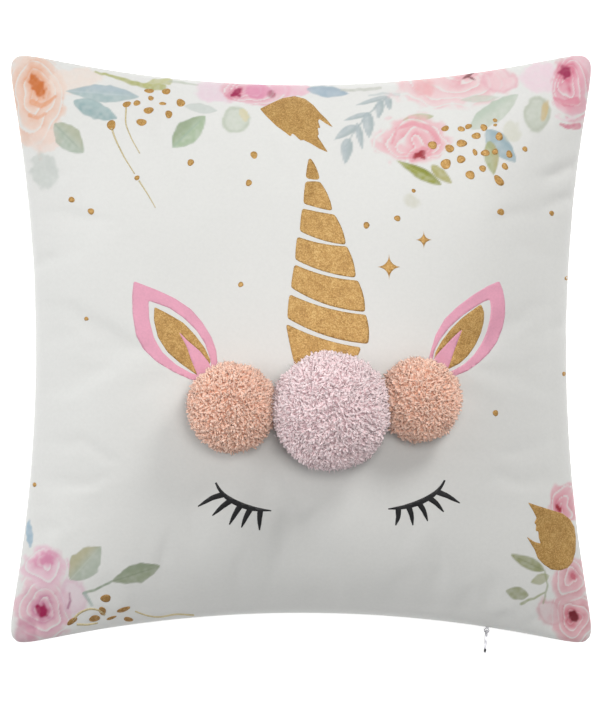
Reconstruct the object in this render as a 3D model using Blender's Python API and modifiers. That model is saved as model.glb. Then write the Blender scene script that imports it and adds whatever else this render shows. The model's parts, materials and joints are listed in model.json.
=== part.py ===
"""A square throw cushion with three yarn pompoms, lying on its back.

Metres, +Z up. The printed face looks up, and +Y runs to the cushion's top edge. The origin is the
middle of the flat patch that the cushion rests on. The cover is two panels sewn together on three
sides, with a concealed zip along the bottom edge. Inside lies a pad of its own: a case and its fibre.
"""

import math
from collections import namedtuple

import bmesh
import bpy
from mathutils import Matrix, Vector

# ---- Cover ----
COVER_WIDTH = 0.450  # between the side seams' ends, before the corners are rounded
COVER_HEIGHT = 0.456  # between the top and bottom seams' ends, before the corners are rounded
SIDE_BOW = 0.0235  # how far the side seams pull in between their ends
END_BOW = 0.0275  # how far the top and bottom seams pull in
CORNER_PULL = 0.034  # share of the diagonal that the rounding takes off each corner
CORNER_POWER = 22  # how close to the corner the rounding stays
FRONT_CROWN = 0.070  # rise of the front panel above its hem
BACK_CROWN = 0.072  # drop that the back panel would have if nothing held it
REST_DEPTH = 0.060  # drop at which the surface below stops it
REST_EASE = 1.1  # how softly the back panel runs into its flat patch
CROWN_POWER = 0.62  # 0.5 is a full round edge, 1 a knife edge
CLOTH = 0.0008  # thickness of the cover's fabric
HEM = 0.0010  # height of the folded hem beside the seam
SEAM_SLIT = 0.0016  # between the two hems, where the zip's neck passes
PANEL_STEPS = 22  # faces across a cover panel

# ---- Seam thread ----
THREAD_RADIUS = 0.0005
THREAD_INSET = 0.0012  # behind the outer edge of the seam
THREAD_STEPS = 26  # stretches of thread along one side

# ---- Inner pad ----
PAD_TAPE_GAP = 0.0025  # between the pad's edge and the zip tapes
PAD_BOW_GAIN = 0.010  # the pad's corners fall this much further short of the cover's
PAD_FACE_GAP = 0.0024  # between the cover and the pad at the crown
CASE_CLOTH = 0.0004
CASE_HEM = 0.0006
CASE_SLIT = 0.0004
PAD_STEPS = 14
PIECE_GAP = 0.0004  # clearance between soft pieces that rest on each other
FIBRE_EDGE_SHARE = 3  # the filling falls short at its edge by this many of its insets

# ---- Zip ----
ZIP_TRAVEL = 0.280  # of the slider, along the seam
SLIDER_CLOSED = 0.142  # slider's place on the seam when shut, from the middle towards +X
SLIDER_LENGTH = 0.009
STOP_CLEARANCE = 0.0005  # between the slider and a stop at either end of its travel
STOP_LENGTH = 0.0026
COIL_RADIUS = 0.0009
COIL_SPREAD = 0.0008  # from the seam's middle plane to a coil's near side
ZIP_CLEARANCE = 0.0004  # between the slider and what runs through it
PART_GAP = 0.0003  # between pieces that touch
TAPE_THICKNESS = 0.0004
TAPE_HEIGHT = 0.008  # how far a tape climbs inside its panel
TAPE_RUNOUT = 0.012  # tape past each stop
TAPE_PANEL_GAP = 0.0008  # between a tape and the inside of its panel
ZIP_STEPS = 26  # straight stretches along a tape or coil
SHEET_METAL = 0.0008  # slider's plates, web and neck
FLANGE_LENGTH = 0.0010  # of the slider's flanges, at least
NECK_LENGTH = 0.0024  # along the seam
EYE_RIM = 0.0008
EYE_STEPS = 16  # round its hole
RIM_STEPS = 18  # round its outside
EYE_GAP = 0.0005  # between the seam's edge and the eye's rim

# ---- Pull tab ----
PULL_LENGTH = 0.017  # from its pin to its tip
PULL_WIDTH = 0.0062
PULL_NECK_WIDTH = 0.0044
PULL_THICKNESS = 0.0018
PULL_END_STEPS = 14
PIN_SIZE = 0.0011  # the bar that passes through the eye
PULL_LEAN = math.radians(-5)  # at rest, its tip leans this far from -Y towards -X

# ---- Pompoms: name, foot on the front panel (x, y), radius of the dense pile ----
POMPOMS = (
    ("left", -0.0490, -0.0415, 0.0315),
    ("middle", 0.0210, -0.0435, 0.0380),
    ("right", 0.0840, -0.0365, 0.0270),
)
POMPOM_SEAT = 0.72  # the flattened foot is this share of the radius below the middle
POMPOM_FOOT_GAP = 0.0005
POMPOM_STEPS = 24
PILE_ARC_STEPS = 12  # down the pile's outside
BORE_ARC_STEPS = 4  # over the bore's round end
KNOT_ARC_STEPS = 6  # down the binding knot
SETTLING_ROUNDS = 12  # tries at finding the panel place under a foot
BORE_RADIUS = 0.0030  # the parting in the yarn where the binding thread sits
BORE_CLEARANCE = 0.0004
TAIL_RADIUS = 0.0006
TAIL_HOLE_RADIUS = 0.0011
HOLE_CUT_DEPTH = 0.0064  # of the hole's cutter, well through the cloth
KNOT_RADIUS = 0.0018
KNOT_HEIGHT = 0.0008
KNOT_GAP = 0.0008  # between the inside knot and the panel, whose faces are flat
TIE_STEPS = 12

# ---- Materials: colour, roughness, metallic ----
MATERIALS = {
    "front_fabric": ((0.78, 0.77, 0.75), 0.70, 0.0),
    "back_fabric": ((0.76, 0.75, 0.73), 0.75, 0.0),
    "seam_thread": ((0.80, 0.79, 0.77), 0.60, 0.0),
    "zip_tape": ((0.74, 0.73, 0.71), 0.80, 0.0),
    "zip_coil": ((0.70, 0.69, 0.67), 0.40, 0.0),
    "zip_metal": ((0.45, 0.45, 0.46), 0.32, 1.0),
    "pad_case": ((0.82, 0.82, 0.82), 0.85, 0.0),
    "pad_fibre": ((0.88, 0.88, 0.88), 0.95, 0.0),
    "peach_yarn": ((0.83, 0.45, 0.30), 0.90, 0.0),
    "lilac_yarn": ((0.76, 0.60, 0.64), 0.90, 0.0),
    "tie_thread": ((0.80, 0.72, 0.68), 0.70, 0.0),
}

Plan = namedtuple("Plan", "half_width half_height side_bow end_bow")
COVER_PLAN = Plan(COVER_WIDTH / 2, COVER_HEIGHT / 2, SIDE_BOW, END_BOW)
SEAM_HEIGHT = SEAM_SLIT / 2 + HEM + REST_DEPTH


# ---- The scene, its collections and its materials ----
for old in list(bpy.data.objects):
    bpy.data.objects.remove(old, do_unlink=True)

parts = bpy.data.collections.new("throw_cushion")
cutters = bpy.data.collections.new("cutters")
bpy.context.scene.collection.children.link(parts)
bpy.context.scene.collection.children.link(cutters)


def make_material(name):
    colour, roughness, metallic = MATERIALS[name]
    material = bpy.data.materials.new(name)
    material.use_nodes = True
    shader = material.node_tree.nodes["Principled BSDF"]
    shader.inputs["Base Color"].default_value = (*colour, 1.0)
    shader.inputs["Roughness"].default_value = roughness
    shader.inputs["Metallic"].default_value = metallic
    material.diffuse_color = (*colour, 1.0)
    return material


materials = {name: make_material(name) for name in MATERIALS}


def add_object(name, data, material=None):
    made = bpy.data.objects.new(name, data)
    if material:
        data.materials.append(materials[material])
        parts.objects.link(made)
    else:
        made.hide_render = True
        made.display_type = "WIRE"
        cutters.objects.link(made)
    return made


def add_mesh(name, bm, material=None, smooth=True):
    mesh = bpy.data.meshes.new(name)
    bm.to_mesh(mesh)
    bm.free()
    if smooth:
        mesh.shade_smooth()
    return add_object(name, mesh, material)


def boolean(target, cutter, operation):
    modifier = target.modifiers.new(f"{operation} {cutter.name}", "BOOLEAN")
    modifier.operation = operation
    modifier.solver = "EXACT"
    modifier.object = cutter


# ---- The cushion's plan and its crown ----
def arc_radius(half_chord, bow):
    return (half_chord**2 + bow**2) / (2 * bow)


def arc_inset(along, half_chord, bow):
    """How far an inward arc lies inside the straight line between its ends, at one place along it."""
    radius = arc_radius(half_chord, bow)
    return bow - radius + math.sqrt(radius**2 - along**2)


def plan_point(plan, u, v):
    """The place on the plan of (u, v), which run from -1 to 1 across the square."""
    x = u * plan.half_width
    y = v * plan.half_height
    x_in = u * abs(u) * arc_inset(y, plan.half_height, plan.side_bow)
    y_in = v * abs(v) * arc_inset(x, plan.half_width, plan.end_bow)
    rounding = 1 - CORNER_PULL * abs(u * v) ** CORNER_POWER
    return (x - x_in) * rounding, (y - y_in) * rounding


def crown(u, v, height):
    inside = max(0.0, (1 - u * u) * (1 - v * v))
    return height * inside**CROWN_POWER


def rested(drop, crown_height, depth):
    """A drop that is stopped at depth, and that runs into the stop softly."""
    reach = depth * REST_EASE
    left = max(0.0, 1 - drop / min(reach, crown_height))
    return depth * (1 - left**REST_EASE)


def ring_values(steps):
    """Places across a panel, closer together near its edges, with the edge twice for the hem."""
    inner = [math.sin(math.pi / 2 * (2 * i / steps - 1)) for i in range(steps + 1)]
    return [-1.0, *inner, 1.0]


def panel_sheet(plan, steps, hem_base, hem_top, rise):
    """An open panel: a grid whose outer ring stands as a hem, and whose middle follows rise(u, v)."""
    values = ring_values(steps)
    last = len(values) - 1
    bm = bmesh.new()
    bmesh.ops.create_grid(bm, x_segments=last, y_segments=last, size=1.0)
    for vertex in bm.verts:
        column = round((vertex.co.x + 1) / 2 * last)
        row = round((vertex.co.y + 1) / 2 * last)
        x, y = plan_point(plan, values[column], values[row])
        on_hem = column in (0, last) or row in (0, last)
        z = hem_base if on_hem else hem_top + rise(values[column], values[row])
        vertex.co = (x, y, z)
    bmesh.ops.remove_doubles(bm, verts=bm.verts, dist=1e-6)
    bmesh.ops.recalc_face_normals(bm, faces=bm.faces)
    return bm


def facing(bm, up):
    """Turns an open sheet's faces up or down."""
    total = sum(face.normal.z * face.calc_area() for face in bm.faces)
    if (total > 0) != up:
        bmesh.ops.reverse_faces(bm, faces=bm.faces)


def make_panel(name, material, plan, steps, cloth, hem_base, hem_top, rise, up):
    bm = panel_sheet(plan, steps, hem_base, hem_top, rise)
    bm.normal_update()
    facing(bm, up)
    panel = add_mesh(name, bm, material)
    solidify = panel.modifiers.new("cloth", "SOLIDIFY")
    solidify.thickness = cloth
    solidify.offset = -1
    return panel


def front_rise(u, v):
    return crown(u, v, FRONT_CROWN)


def back_drop(u, v):
    return -rested(crown(u, v, BACK_CROWN), BACK_CROWN, REST_DEPTH)


front_panel = make_panel(
    "cover_front_panel",
    "front_fabric",
    COVER_PLAN,
    PANEL_STEPS,
    CLOTH,
    SEAM_HEIGHT + SEAM_SLIT / 2,
    SEAM_HEIGHT + SEAM_SLIT / 2 + HEM,
    front_rise,
    True,
)
back_panel = make_panel(
    "cover_back_panel",
    "back_fabric",
    COVER_PLAN,
    PANEL_STEPS,
    CLOTH,
    SEAM_HEIGHT - SEAM_SLIT / 2,
    SEAM_HEIGHT - SEAM_SLIT / 2 - HEM,
    back_drop,
    False,
)

# ---- The zip runs along the bottom seam, which is an arc about a far centre on the -Y side ----
ZIP_ARC_RADIUS = arc_radius(COVER_WIDTH / 2, END_BOW)
ZIP_CENTRE_Y = -(COVER_HEIGHT / 2 - END_BOW) - ZIP_ARC_RADIUS
SLIDER_OPEN = SLIDER_CLOSED - ZIP_TRAVEL
TOP_STOP_START = SLIDER_CLOSED + SLIDER_LENGTH / 2 + STOP_CLEARANCE
BOTTOM_STOP_END = SLIDER_OPEN - SLIDER_LENGTH / 2 - STOP_CLEARANCE
TAPE_START = BOTTOM_STOP_END - STOP_LENGTH - TAPE_RUNOUT
TAPE_END = TOP_STOP_START + STOP_LENGTH + TAPE_RUNOUT


def seam_point(along, inward, up):
    """A point by its place along the bottom seam, its depth behind the edge and its height over the seam."""
    angle = along / ZIP_ARC_RADIUS
    radius = ZIP_ARC_RADIUS + inward
    return Vector(
        (radius * math.sin(angle), ZIP_CENTRE_Y + radius * math.cos(angle), SEAM_HEIGHT + up)
    )


def sweep(name, material, outline, start, end, steps):
    """Sweeps an outline of (inward, up) points along the bottom seam."""
    bm = bmesh.new()
    corners = [bm.verts.new(seam_point(start, inward, up)) for inward, up in outline]
    face = bm.faces.new(corners)
    bmesh.ops.spin(
        bm,
        geom=[face, *face.edges, *face.verts],
        cent=(0, ZIP_CENTRE_Y, 0),
        axis=(0, 0, 1),
        angle=-(end - start) / ZIP_ARC_RADIUS,
        steps=steps,
    )
    bmesh.ops.recalc_face_normals(bm, faces=bm.faces)
    return add_mesh(name, bm, material, smooth=False)


# Beside the tapes' ends the panels are at their flattest, so the zip's section is drawn to fit there.
FAR_TAPE = max(abs(seam_point(TAPE_START, 0, 0).x), abs(seam_point(TAPE_END, 0, 0).x))
FAR_COLUMN = min(u for u in ring_values(PANEL_STEPS) if u >= FAR_TAPE / COVER_PLAN.half_width)
LOW_CROWN = crown(FAR_COLUMN, 0, min(FRONT_CROWN, BACK_CROWN))
FAR_INSET = arc_inset(FAR_TAPE, COVER_PLAN.half_width, END_BOW)


def panel_row(v):
    """A row of the panel's corners there: how far behind the seam's edge, and how far above the hem."""
    depth = COVER_PLAN.half_height * (1 - abs(v)) - FAR_INSET * (1 - v * v)
    return depth, LOW_CROWN * (1 - v * v) ** CROWN_POWER


PANEL_ROWS = [panel_row(v) for v in ring_values(PANEL_STEPS)[1:-1] if v <= 0]


def panel_inside(up):
    """How far behind the seam's edge the inside of the panel's flat faces lies, at one height."""
    rise = up - SEAM_SLIT / 2 - HEM
    if rise <= 0:
        return CLOTH
    for (depth, low), (next_depth, high) in zip(PANEL_ROWS, PANEL_ROWS[1:]):
        if rise <= high:
            break
    slope = (next_depth - depth) / (high - low)
    return depth + slope * (rise - low) + CLOTH * math.hypot(1, slope)


COIL_HEIGHT = COIL_SPREAD + COIL_RADIUS
COIL_TOP = COIL_HEIGHT + COIL_RADIUS
COIL_DEPTH = panel_inside(COIL_TOP) + TAPE_PANEL_GAP + TAPE_THICKNESS + PART_GAP + COIL_RADIUS


def tape_outline(side):
    """A tape's section: beside its coil, then up along the inside of its panel, with its bends."""
    bends = [SEAM_SLIT / 2 + HEM + rise for _, rise in PANEL_ROWS]
    outer = []
    inner = []
    for up in [COIL_SPREAD, *(bend for bend in bends if bend < TAPE_HEIGHT), TAPE_HEIGHT]:
        depth = panel_inside(up) + TAPE_PANEL_GAP
        outer.append((depth, side * up))
        inner.append((depth + TAPE_THICKNESS, side * up))
    return outer + inner[::-1]


def coil_curve(name, side):
    curve = bpy.data.curves.new(name, "CURVE")
    curve.dimensions = "3D"
    curve.bevel_depth = COIL_RADIUS
    curve.bevel_resolution = 2
    curve.use_fill_caps = True
    start = BOTTOM_STOP_END + PART_GAP
    end = TOP_STOP_START - PART_GAP
    spline = curve.splines.new("POLY")
    spline.points.add(ZIP_STEPS)
    for i, point in enumerate(spline.points):
        along = start + (end - start) * i / ZIP_STEPS
        point.co = (*seam_point(along, COIL_DEPTH, side * COIL_HEIGHT), 1.0)
    return add_object(name, curve, "zip_coil")


def block_outline(low, high):
    near = COIL_DEPTH - COIL_RADIUS
    far = COIL_DEPTH + COIL_RADIUS
    return [(near, low), (far, low), (far, high), (near, high)]


for half, side in (("front", 1), ("back", -1)):
    sweep(
        f"zip_tape_{half}",
        "zip_tape",
        tape_outline(side),
        TAPE_START,
        TAPE_END,
        ZIP_STEPS,
    )
    coil_curve(f"zip_coil_{half}", side)
    sweep(
        f"zip_top_stop_{half}",
        "zip_metal",
        block_outline(side * COIL_SPREAD, side * COIL_TOP),
        TOP_STOP_START,
        TOP_STOP_START + STOP_LENGTH,
        1,
    )
sweep(
    "zip_bottom_stop",
    "zip_metal",
    block_outline(-COIL_TOP, COIL_TOP),
    BOTTOM_STOP_END - STOP_LENGTH,
    BOTTOM_STOP_END,
    1,
)

# ---- Slider: two channels joined by a web, and a neck that comes out through the seam to an eye ----
slider_turn = -SLIDER_CLOSED / ZIP_ARC_RADIUS
zip_arc_centre = bpy.data.objects.new("zip_arc_centre", None)
zip_arc_centre.location = (0, ZIP_CENTRE_Y, SEAM_HEIGHT)
zip_arc_centre.rotation_euler = (0, 0, slider_turn)
parts.objects.link(zip_arc_centre)


def flat_outline(name, outlines, thickness):
    """A flat piece from closed outlines, the first the outside and the rest its holes."""
    curve = bpy.data.curves.new(name, "CURVE")
    curve.dimensions = "2D"
    curve.fill_mode = "BOTH"
    curve.extrude = thickness / 2
    for points in outlines:
        spline = curve.splines.new("POLY")
        spline.points.add(len(points) - 1)
        spline.use_cyclic_u = True
        for point, (across, along) in zip(spline.points, points):
            point.co = (across, along, 0.0, 1.0)
    return add_object(name, curve)


def as_mesh(curve_object, material):
    """Makes a curve object a mesh with its caps welded, so that it can be cut or joined."""
    bpy.context.view_layer.update()
    graph = bpy.context.evaluated_depsgraph_get()
    mesh = bpy.data.meshes.new_from_object(curve_object.evaluated_get(graph))
    bm = bmesh.new()
    bm.from_mesh(mesh)
    bmesh.ops.remove_doubles(bm, verts=bm.verts, dist=1e-6)
    bmesh.ops.recalc_face_normals(bm, faces=bm.faces)
    name = curve_object.name
    place = curve_object.matrix_world.copy()
    bpy.data.objects.remove(curve_object)
    made = add_mesh(name, bm, material, smooth=False)
    made.matrix_world = place
    return made


def circle_points(x, y, radius, steps, start=0.0, sweep_angle=2 * math.pi):
    count = steps if sweep_angle >= 2 * math.pi else steps + 1
    angles = [start + sweep_angle * i / steps for i in range(count)]
    return [(x + radius * math.cos(a), y + radius * math.sin(a)) for a in angles]


EYE_HOLE_RADIUS = math.hypot(PIN_SIZE, PULL_THICKNESS) / 2 + PART_GAP
EYE_RADIUS = EYE_HOLE_RADIUS + EYE_RIM
EYE_REACH = EYE_GAP + EYE_RADIUS
FLANGE_HEIGHT = COIL_TOP + ZIP_CLEARANCE
TAPE_INSIDE = panel_inside(FLANGE_HEIGHT + SHEET_METAL) + TAPE_PANEL_GAP + TAPE_THICKNESS
FLANGE_START = TAPE_INSIDE + ZIP_CLEARANCE
SLIDER_BACK = max(COIL_DEPTH + COIL_RADIUS + ZIP_CLEARANCE, FLANGE_START + FLANGE_LENGTH)
WEB_START = CLOTH + ZIP_CLEARANCE
WEB_HALF = SHEET_METAL / 2


def slider_section():
    """The slider's section, (inward, up): a back plate, two flanges and the web between the coils."""
    top = FLANGE_HEIGHT + SHEET_METAL
    back = SLIDER_BACK + SHEET_METAL
    upper = [
        (back, top),
        (FLANGE_START, top),
        (FLANGE_START, FLANGE_HEIGHT),
        (SLIDER_BACK, FLANGE_HEIGHT),
        (SLIDER_BACK, WEB_HALF),
        (WEB_START, WEB_HALF),
    ]
    lower = [(inward, -up) for inward, up in reversed(upper)]
    return upper + lower


def neck_outline():
    """The neck and the rim of its eye, (along, inward), from the web out to the eye."""
    half = NECK_LENGTH / 2
    dip = math.sqrt(EYE_RADIUS**2 - half**2)
    lead = math.atan2(dip, half)
    rim = circle_points(0, -EYE_REACH, EYE_RADIUS, RIM_STEPS, math.pi - lead, math.pi + 2 * lead)
    return [(half, SLIDER_BACK + WEB_HALF), (-half, SLIDER_BACK + WEB_HALF), *rim]


# The slider's own axes: X along the seam, Y inward, Z up.
SECTION_AXES = Matrix(((0, 0, 1), (1, 0, 0), (0, 1, 0))).to_4x4()
slider_frame = Matrix.Translation(seam_point(SLIDER_CLOSED, 0, 0)) @ Matrix.Rotation(slider_turn, 4, "Z")

slider_curve = flat_outline("zip_slider_body", [slider_section()], SLIDER_LENGTH)
slider_curve.matrix_world = slider_frame @ SECTION_AXES
slider = as_mesh(slider_curve, "zip_metal")
neck_curve = flat_outline(
    "slider_neck",
    [neck_outline(), circle_points(0, -EYE_REACH, EYE_HOLE_RADIUS, EYE_STEPS)],
    SHEET_METAL,
)
neck_curve.matrix_world = slider_frame
neck = as_mesh(neck_curve, None)
boolean(slider, neck, "UNION")

# ---- Pull tab: a drop-shaped plate whose pin passes through the eye ----
pull_pin = bpy.data.objects.new("pull_pin", None)
pull_pin.location = seam_point(SLIDER_CLOSED, -EYE_REACH, 0.0)
pull_pin.rotation_euler = (0, 0, PULL_LEAN)
parts.objects.link(pull_pin)


def pull_outlines():
    """The plate's outline and its window, (up, outward from the pin)."""
    end_radius = PULL_WIDTH / 2
    start = -PIN_SIZE / 2
    shoulder = EYE_RADIUS + ZIP_CLEARANCE
    half_neck = PULL_NECK_WIDTH / 2
    end = circle_points(0, PULL_LENGTH - end_radius, end_radius, PULL_END_STEPS, 0.0, math.pi)
    plate = [(half_neck, start), (half_neck, shoulder), *end, (-half_neck, shoulder), (-half_neck, start)]
    half_window = SHEET_METAL / 2 + PART_GAP
    window_end = EYE_RADIUS + ZIP_CLEARANCE
    window = [
        (-half_window, PIN_SIZE / 2),
        (half_window, PIN_SIZE / 2),
        (half_window, window_end),
        (-half_window, window_end),
    ]
    return [plate, window]


PULL_AXES = Matrix(((0, 0, 1), (0, -1, 0), (1, 0, 0))).to_4x4()
pull_frame = Matrix.Translation(pull_pin.location) @ Matrix.Rotation(PULL_LEAN, 4, "Z")
pull_curve = flat_outline("zip_pull_tab", pull_outlines(), PULL_THICKNESS)
pull_curve.matrix_world = pull_frame @ PULL_AXES
pull = as_mesh(pull_curve, "zip_metal")
for moved, place in (
    (slider, zip_arc_centre),
    (neck, zip_arc_centre),
    (pull_pin, zip_arc_centre),
    (pull, pull_pin),
):
    bpy.context.view_layer.update()
    world = moved.matrix_world.copy()
    moved.parent = place
    moved.matrix_world = world

# ---- The inner pad: its edge stays clear of the zip tapes ----
PAD_EDGE_GAP = panel_inside(TAPE_HEIGHT) + TAPE_PANEL_GAP + TAPE_THICKNESS + PAD_TAPE_GAP
PAD_PLAN = Plan(
    COVER_WIDTH / 2 - PAD_EDGE_GAP - PAD_BOW_GAIN,
    COVER_HEIGHT / 2 - PAD_EDGE_GAP - PAD_BOW_GAIN,
    SIDE_BOW - PAD_BOW_GAIN,
    END_BOW - PAD_BOW_GAIN,
)
PAD_FRONT_CROWN = (
    SEAM_SLIT / 2 + HEM + FRONT_CROWN - CLOTH - PAD_FACE_GAP - CASE_SLIT / 2 - CASE_HEM
)
PAD_BACK_DEPTH = SEAM_HEIGHT - CLOTH - PIECE_GAP - CASE_SLIT / 2 - CASE_HEM
PAD_BACK_CROWN = PAD_BACK_DEPTH + BACK_CROWN - REST_DEPTH - PAD_FACE_GAP
FIBRE_INSET = CASE_CLOTH + PIECE_GAP


def pad_front_rise(u, v):
    return crown(u, v, PAD_FRONT_CROWN)


def pad_back_drop(u, v):
    return -rested(crown(u, v, PAD_BACK_CROWN), PAD_BACK_CROWN, PAD_BACK_DEPTH)


make_panel(
    "insert_case_front",
    "pad_case",
    PAD_PLAN,
    PAD_STEPS,
    CASE_CLOTH,
    SEAM_HEIGHT + CASE_SLIT / 2,
    SEAM_HEIGHT + CASE_SLIT / 2 + CASE_HEM,
    pad_front_rise,
    True,
)
make_panel(
    "insert_case_back",
    "pad_case",
    PAD_PLAN,
    PAD_STEPS,
    CASE_CLOTH,
    SEAM_HEIGHT - CASE_SLIT / 2,
    SEAM_HEIGHT - CASE_SLIT / 2 - CASE_HEM,
    pad_back_drop,
    False,
)


def make_fibre():
    """The filling: the case's two shapes, drawn in by the case's cloth and a clearance, and closed."""
    plan = Plan(
        PAD_PLAN.half_width - FIBRE_EDGE_SHARE * FIBRE_INSET,
        PAD_PLAN.half_height - FIBRE_EDGE_SHARE * FIBRE_INSET,
        PAD_PLAN.side_bow,
        PAD_PLAN.end_bow,
    )
    front_height = PAD_FRONT_CROWN - FIBRE_INSET
    back_height = PAD_BACK_DEPTH - FIBRE_INSET
    free_back = PAD_BACK_CROWN - FIBRE_INSET

    def front(u, v):
        return crown(u, v, front_height)

    def back(u, v):
        return -rested(crown(u, v, free_back), free_back, back_height)

    bm = panel_sheet(plan, PAD_STEPS, SEAM_HEIGHT, SEAM_HEIGHT + CASE_HEM, front)
    lower = panel_sheet(plan, PAD_STEPS, SEAM_HEIGHT, SEAM_HEIGHT - CASE_HEM, back)
    mesh = bpy.data.meshes.new("lower_half")
    lower.to_mesh(mesh)
    lower.free()
    bm.from_mesh(mesh)
    bpy.data.meshes.remove(mesh)
    bmesh.ops.remove_doubles(bm, verts=bm.verts, dist=1e-6)
    bmesh.ops.recalc_face_normals(bm, faces=bm.faces)
    return add_mesh("insert_fibre_filling", bm, "pad_fibre")


make_fibre()


# ---- Seam thread: round the closed seams, from one end of the zip's tapes to the other ----
def edge_places(start, end):
    """(u, v) of the thread's points, from start on the bottom seam, round by the top, to end."""
    turns = [math.sin(math.pi / 2 * (2 * i / THREAD_STEPS - 1)) for i in range(THREAD_STEPS + 1)]
    right = [(1.0, t) for t in turns]
    top = [(t, 1.0) for t in reversed(turns)][1:]
    left = [(-1.0, t) for t in reversed(turns)][1:]
    bottom_right = [(start, -1.0)] + [(t, -1.0) for t in turns if t > start][:-1]
    bottom_left = [(t, -1.0) for t in turns if t < end][1:] + [(end, -1.0)]
    return bottom_right + right + top + left + bottom_left


def thread_points(start, end):
    """The seam's edge at each of those places, moved in by the thread's inset."""
    edge = [Vector(plan_point(COVER_PLAN, u, v)) for u, v in edge_places(start, end)]
    moved = []
    for i, point in enumerate(edge):
        ahead = edge[min(i + 1, len(edge) - 1)] - edge[max(i - 1, 0)]
        inward = Vector((-ahead.y, ahead.x)).normalized()
        moved.append(point + inward * THREAD_INSET)
    return moved


thread_start = seam_point(TAPE_END + CLOTH, 0, 0).x
thread_end = seam_point(TAPE_START - CLOTH, 0, 0).x
thread = bpy.data.curves.new("cover_seam_thread", "CURVE")
thread.dimensions = "3D"
thread.bevel_depth = THREAD_RADIUS
thread.bevel_resolution = 2
thread.use_fill_caps = True
places = thread_points(thread_start / COVER_PLAN.half_width, thread_end / COVER_PLAN.half_width)
stitch_line = thread.splines.new("POLY")
stitch_line.points.add(len(places) - 1)
for spline_point, place in zip(stitch_line.points, places):
    spline_point.co = (place.x, place.y, SEAM_HEIGHT, 1.0)
add_object("cover_seam_thread", thread, "seam_thread")


# ---- Pompoms: each stands square on the front panel and turns on its binding thread ----
def front_height(x, y):
    """Height of the front panel over one place on its plan."""
    u = x / COVER_PLAN.half_width
    v = y / COVER_PLAN.half_height
    for _ in range(SETTLING_ROUNDS):
        near_x, near_y = plan_point(COVER_PLAN, u, v)
        u += (x - near_x) / COVER_PLAN.half_width
        v += (y - near_y) / COVER_PLAN.half_height
    return SEAM_HEIGHT + SEAM_SLIT / 2 + HEM + front_rise(u, v)


def foot_frame(x, y):
    """A frame on the front panel whose +Z points straight out of the cloth."""
    reach = 0.001
    slope_x = (front_height(x + reach, y) - front_height(x - reach, y)) / (2 * reach)
    slope_y = (front_height(x, y + reach) - front_height(x, y - reach)) / (2 * reach)
    normal = Vector((-slope_x, -slope_y, 1)).normalized()
    turn = normal.to_track_quat("Z", "Y").to_matrix().to_4x4()
    return Matrix.Translation((x, y, front_height(x, y))) @ turn


def turned(name, profile, steps, material, frame):
    """A turned shape from (radius, height) points, top to bottom down the outer side."""
    bm = bmesh.new()
    chain = [bm.verts.new((radius, 0, height)) for radius, height in profile]
    for first, second in zip(chain, chain[1:]):
        bm.edges.new((first, second))
    made = add_mesh(name, bm, material)
    made.matrix_world = frame
    screw = made.modifiers.new("turn", "SCREW")
    screw.steps = steps
    screw.render_steps = steps
    screw.use_merge_vertices = True
    screw.merge_threshold = 1e-5
    return made


def ball_arc(radius, middle, start, end, steps):
    """(radius, height) points on a ball's outline, between two angles from its top."""
    angles = [start + (end - start) * i / steps for i in range(steps + 1)]
    return [(radius * math.sin(angle), middle + radius * math.cos(angle)) for angle in angles]


def pile_profile(radius):
    """The dense pile: a ball with a flattened foot and a narrow bore up to its middle."""
    middle = POMPOM_FOOT_GAP + POMPOM_SEAT * radius
    outside = ball_arc(radius, middle, 0, math.acos(-POMPOM_SEAT), PILE_ARC_STEPS)
    bore_end = ball_arc(BORE_RADIUS, middle, math.pi / 2, 0, BORE_ARC_STEPS)
    return outside + [(BORE_RADIUS, POMPOM_FOOT_GAP)] + bore_end


def tie_profile(radius):
    """Binding knot, tail through the cloth, and the knot inside the cover."""
    middle = POMPOM_FOOT_GAP + POMPOM_SEAT * radius
    ball = BORE_RADIUS - BORE_CLEARANCE
    top = ball_arc(ball, middle, 0, math.pi - math.asin(TAIL_RADIUS / ball), KNOT_ARC_STEPS)
    under = -CLOTH - KNOT_GAP
    tail = [(TAIL_RADIUS, under), (KNOT_RADIUS, under), (KNOT_RADIUS, under - KNOT_HEIGHT)]
    return top + tail + [(0, under - KNOT_HEIGHT)]


def tail_hole(name, frame):
    """A cutter for the hole that a pompom's tail passes through."""
    bm = bmesh.new()
    bmesh.ops.create_cone(
        bm,
        cap_ends=True,
        segments=TIE_STEPS,
        radius1=TAIL_HOLE_RADIUS,
        radius2=TAIL_HOLE_RADIUS,
        depth=HOLE_CUT_DEPTH,
    )
    hole = add_mesh(name, bm, smooth=False)
    hole.matrix_world = frame
    return hole


for name, x, y, radius in POMPOMS:
    frame = foot_frame(x, y)
    yarn = "lilac_yarn" if name == "middle" else "peach_yarn"
    turned(f"pompom_{name}_pile", pile_profile(radius), POMPOM_STEPS, yarn, frame)
    turned(f"pompom_{name}_tie", tie_profile(radius), TIE_STEPS, "tie_thread", frame)
    boolean(front_panel, tail_hole(f"hole_{name}", frame), "DIFFERENCE")
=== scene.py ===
# %% [markdown]
# # A plush unicorn cushion, dressed round its CAD frame
# The object is a square throw cushion that lies on its back with its printed face up. The printed
# cover, the lining pad inside it, the zip along the bottom seam and three yarn pompoms are separate
# things on the real cushion, so they are separate pieces here. The frame gives their places.

# %% Load the frame
import json
import math

import bmesh
import bpy
import numpy as np
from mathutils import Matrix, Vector
from mathutils.bvhtree import BVHTree
from mathutils.geometry import delaunay_2d_cdt


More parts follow.
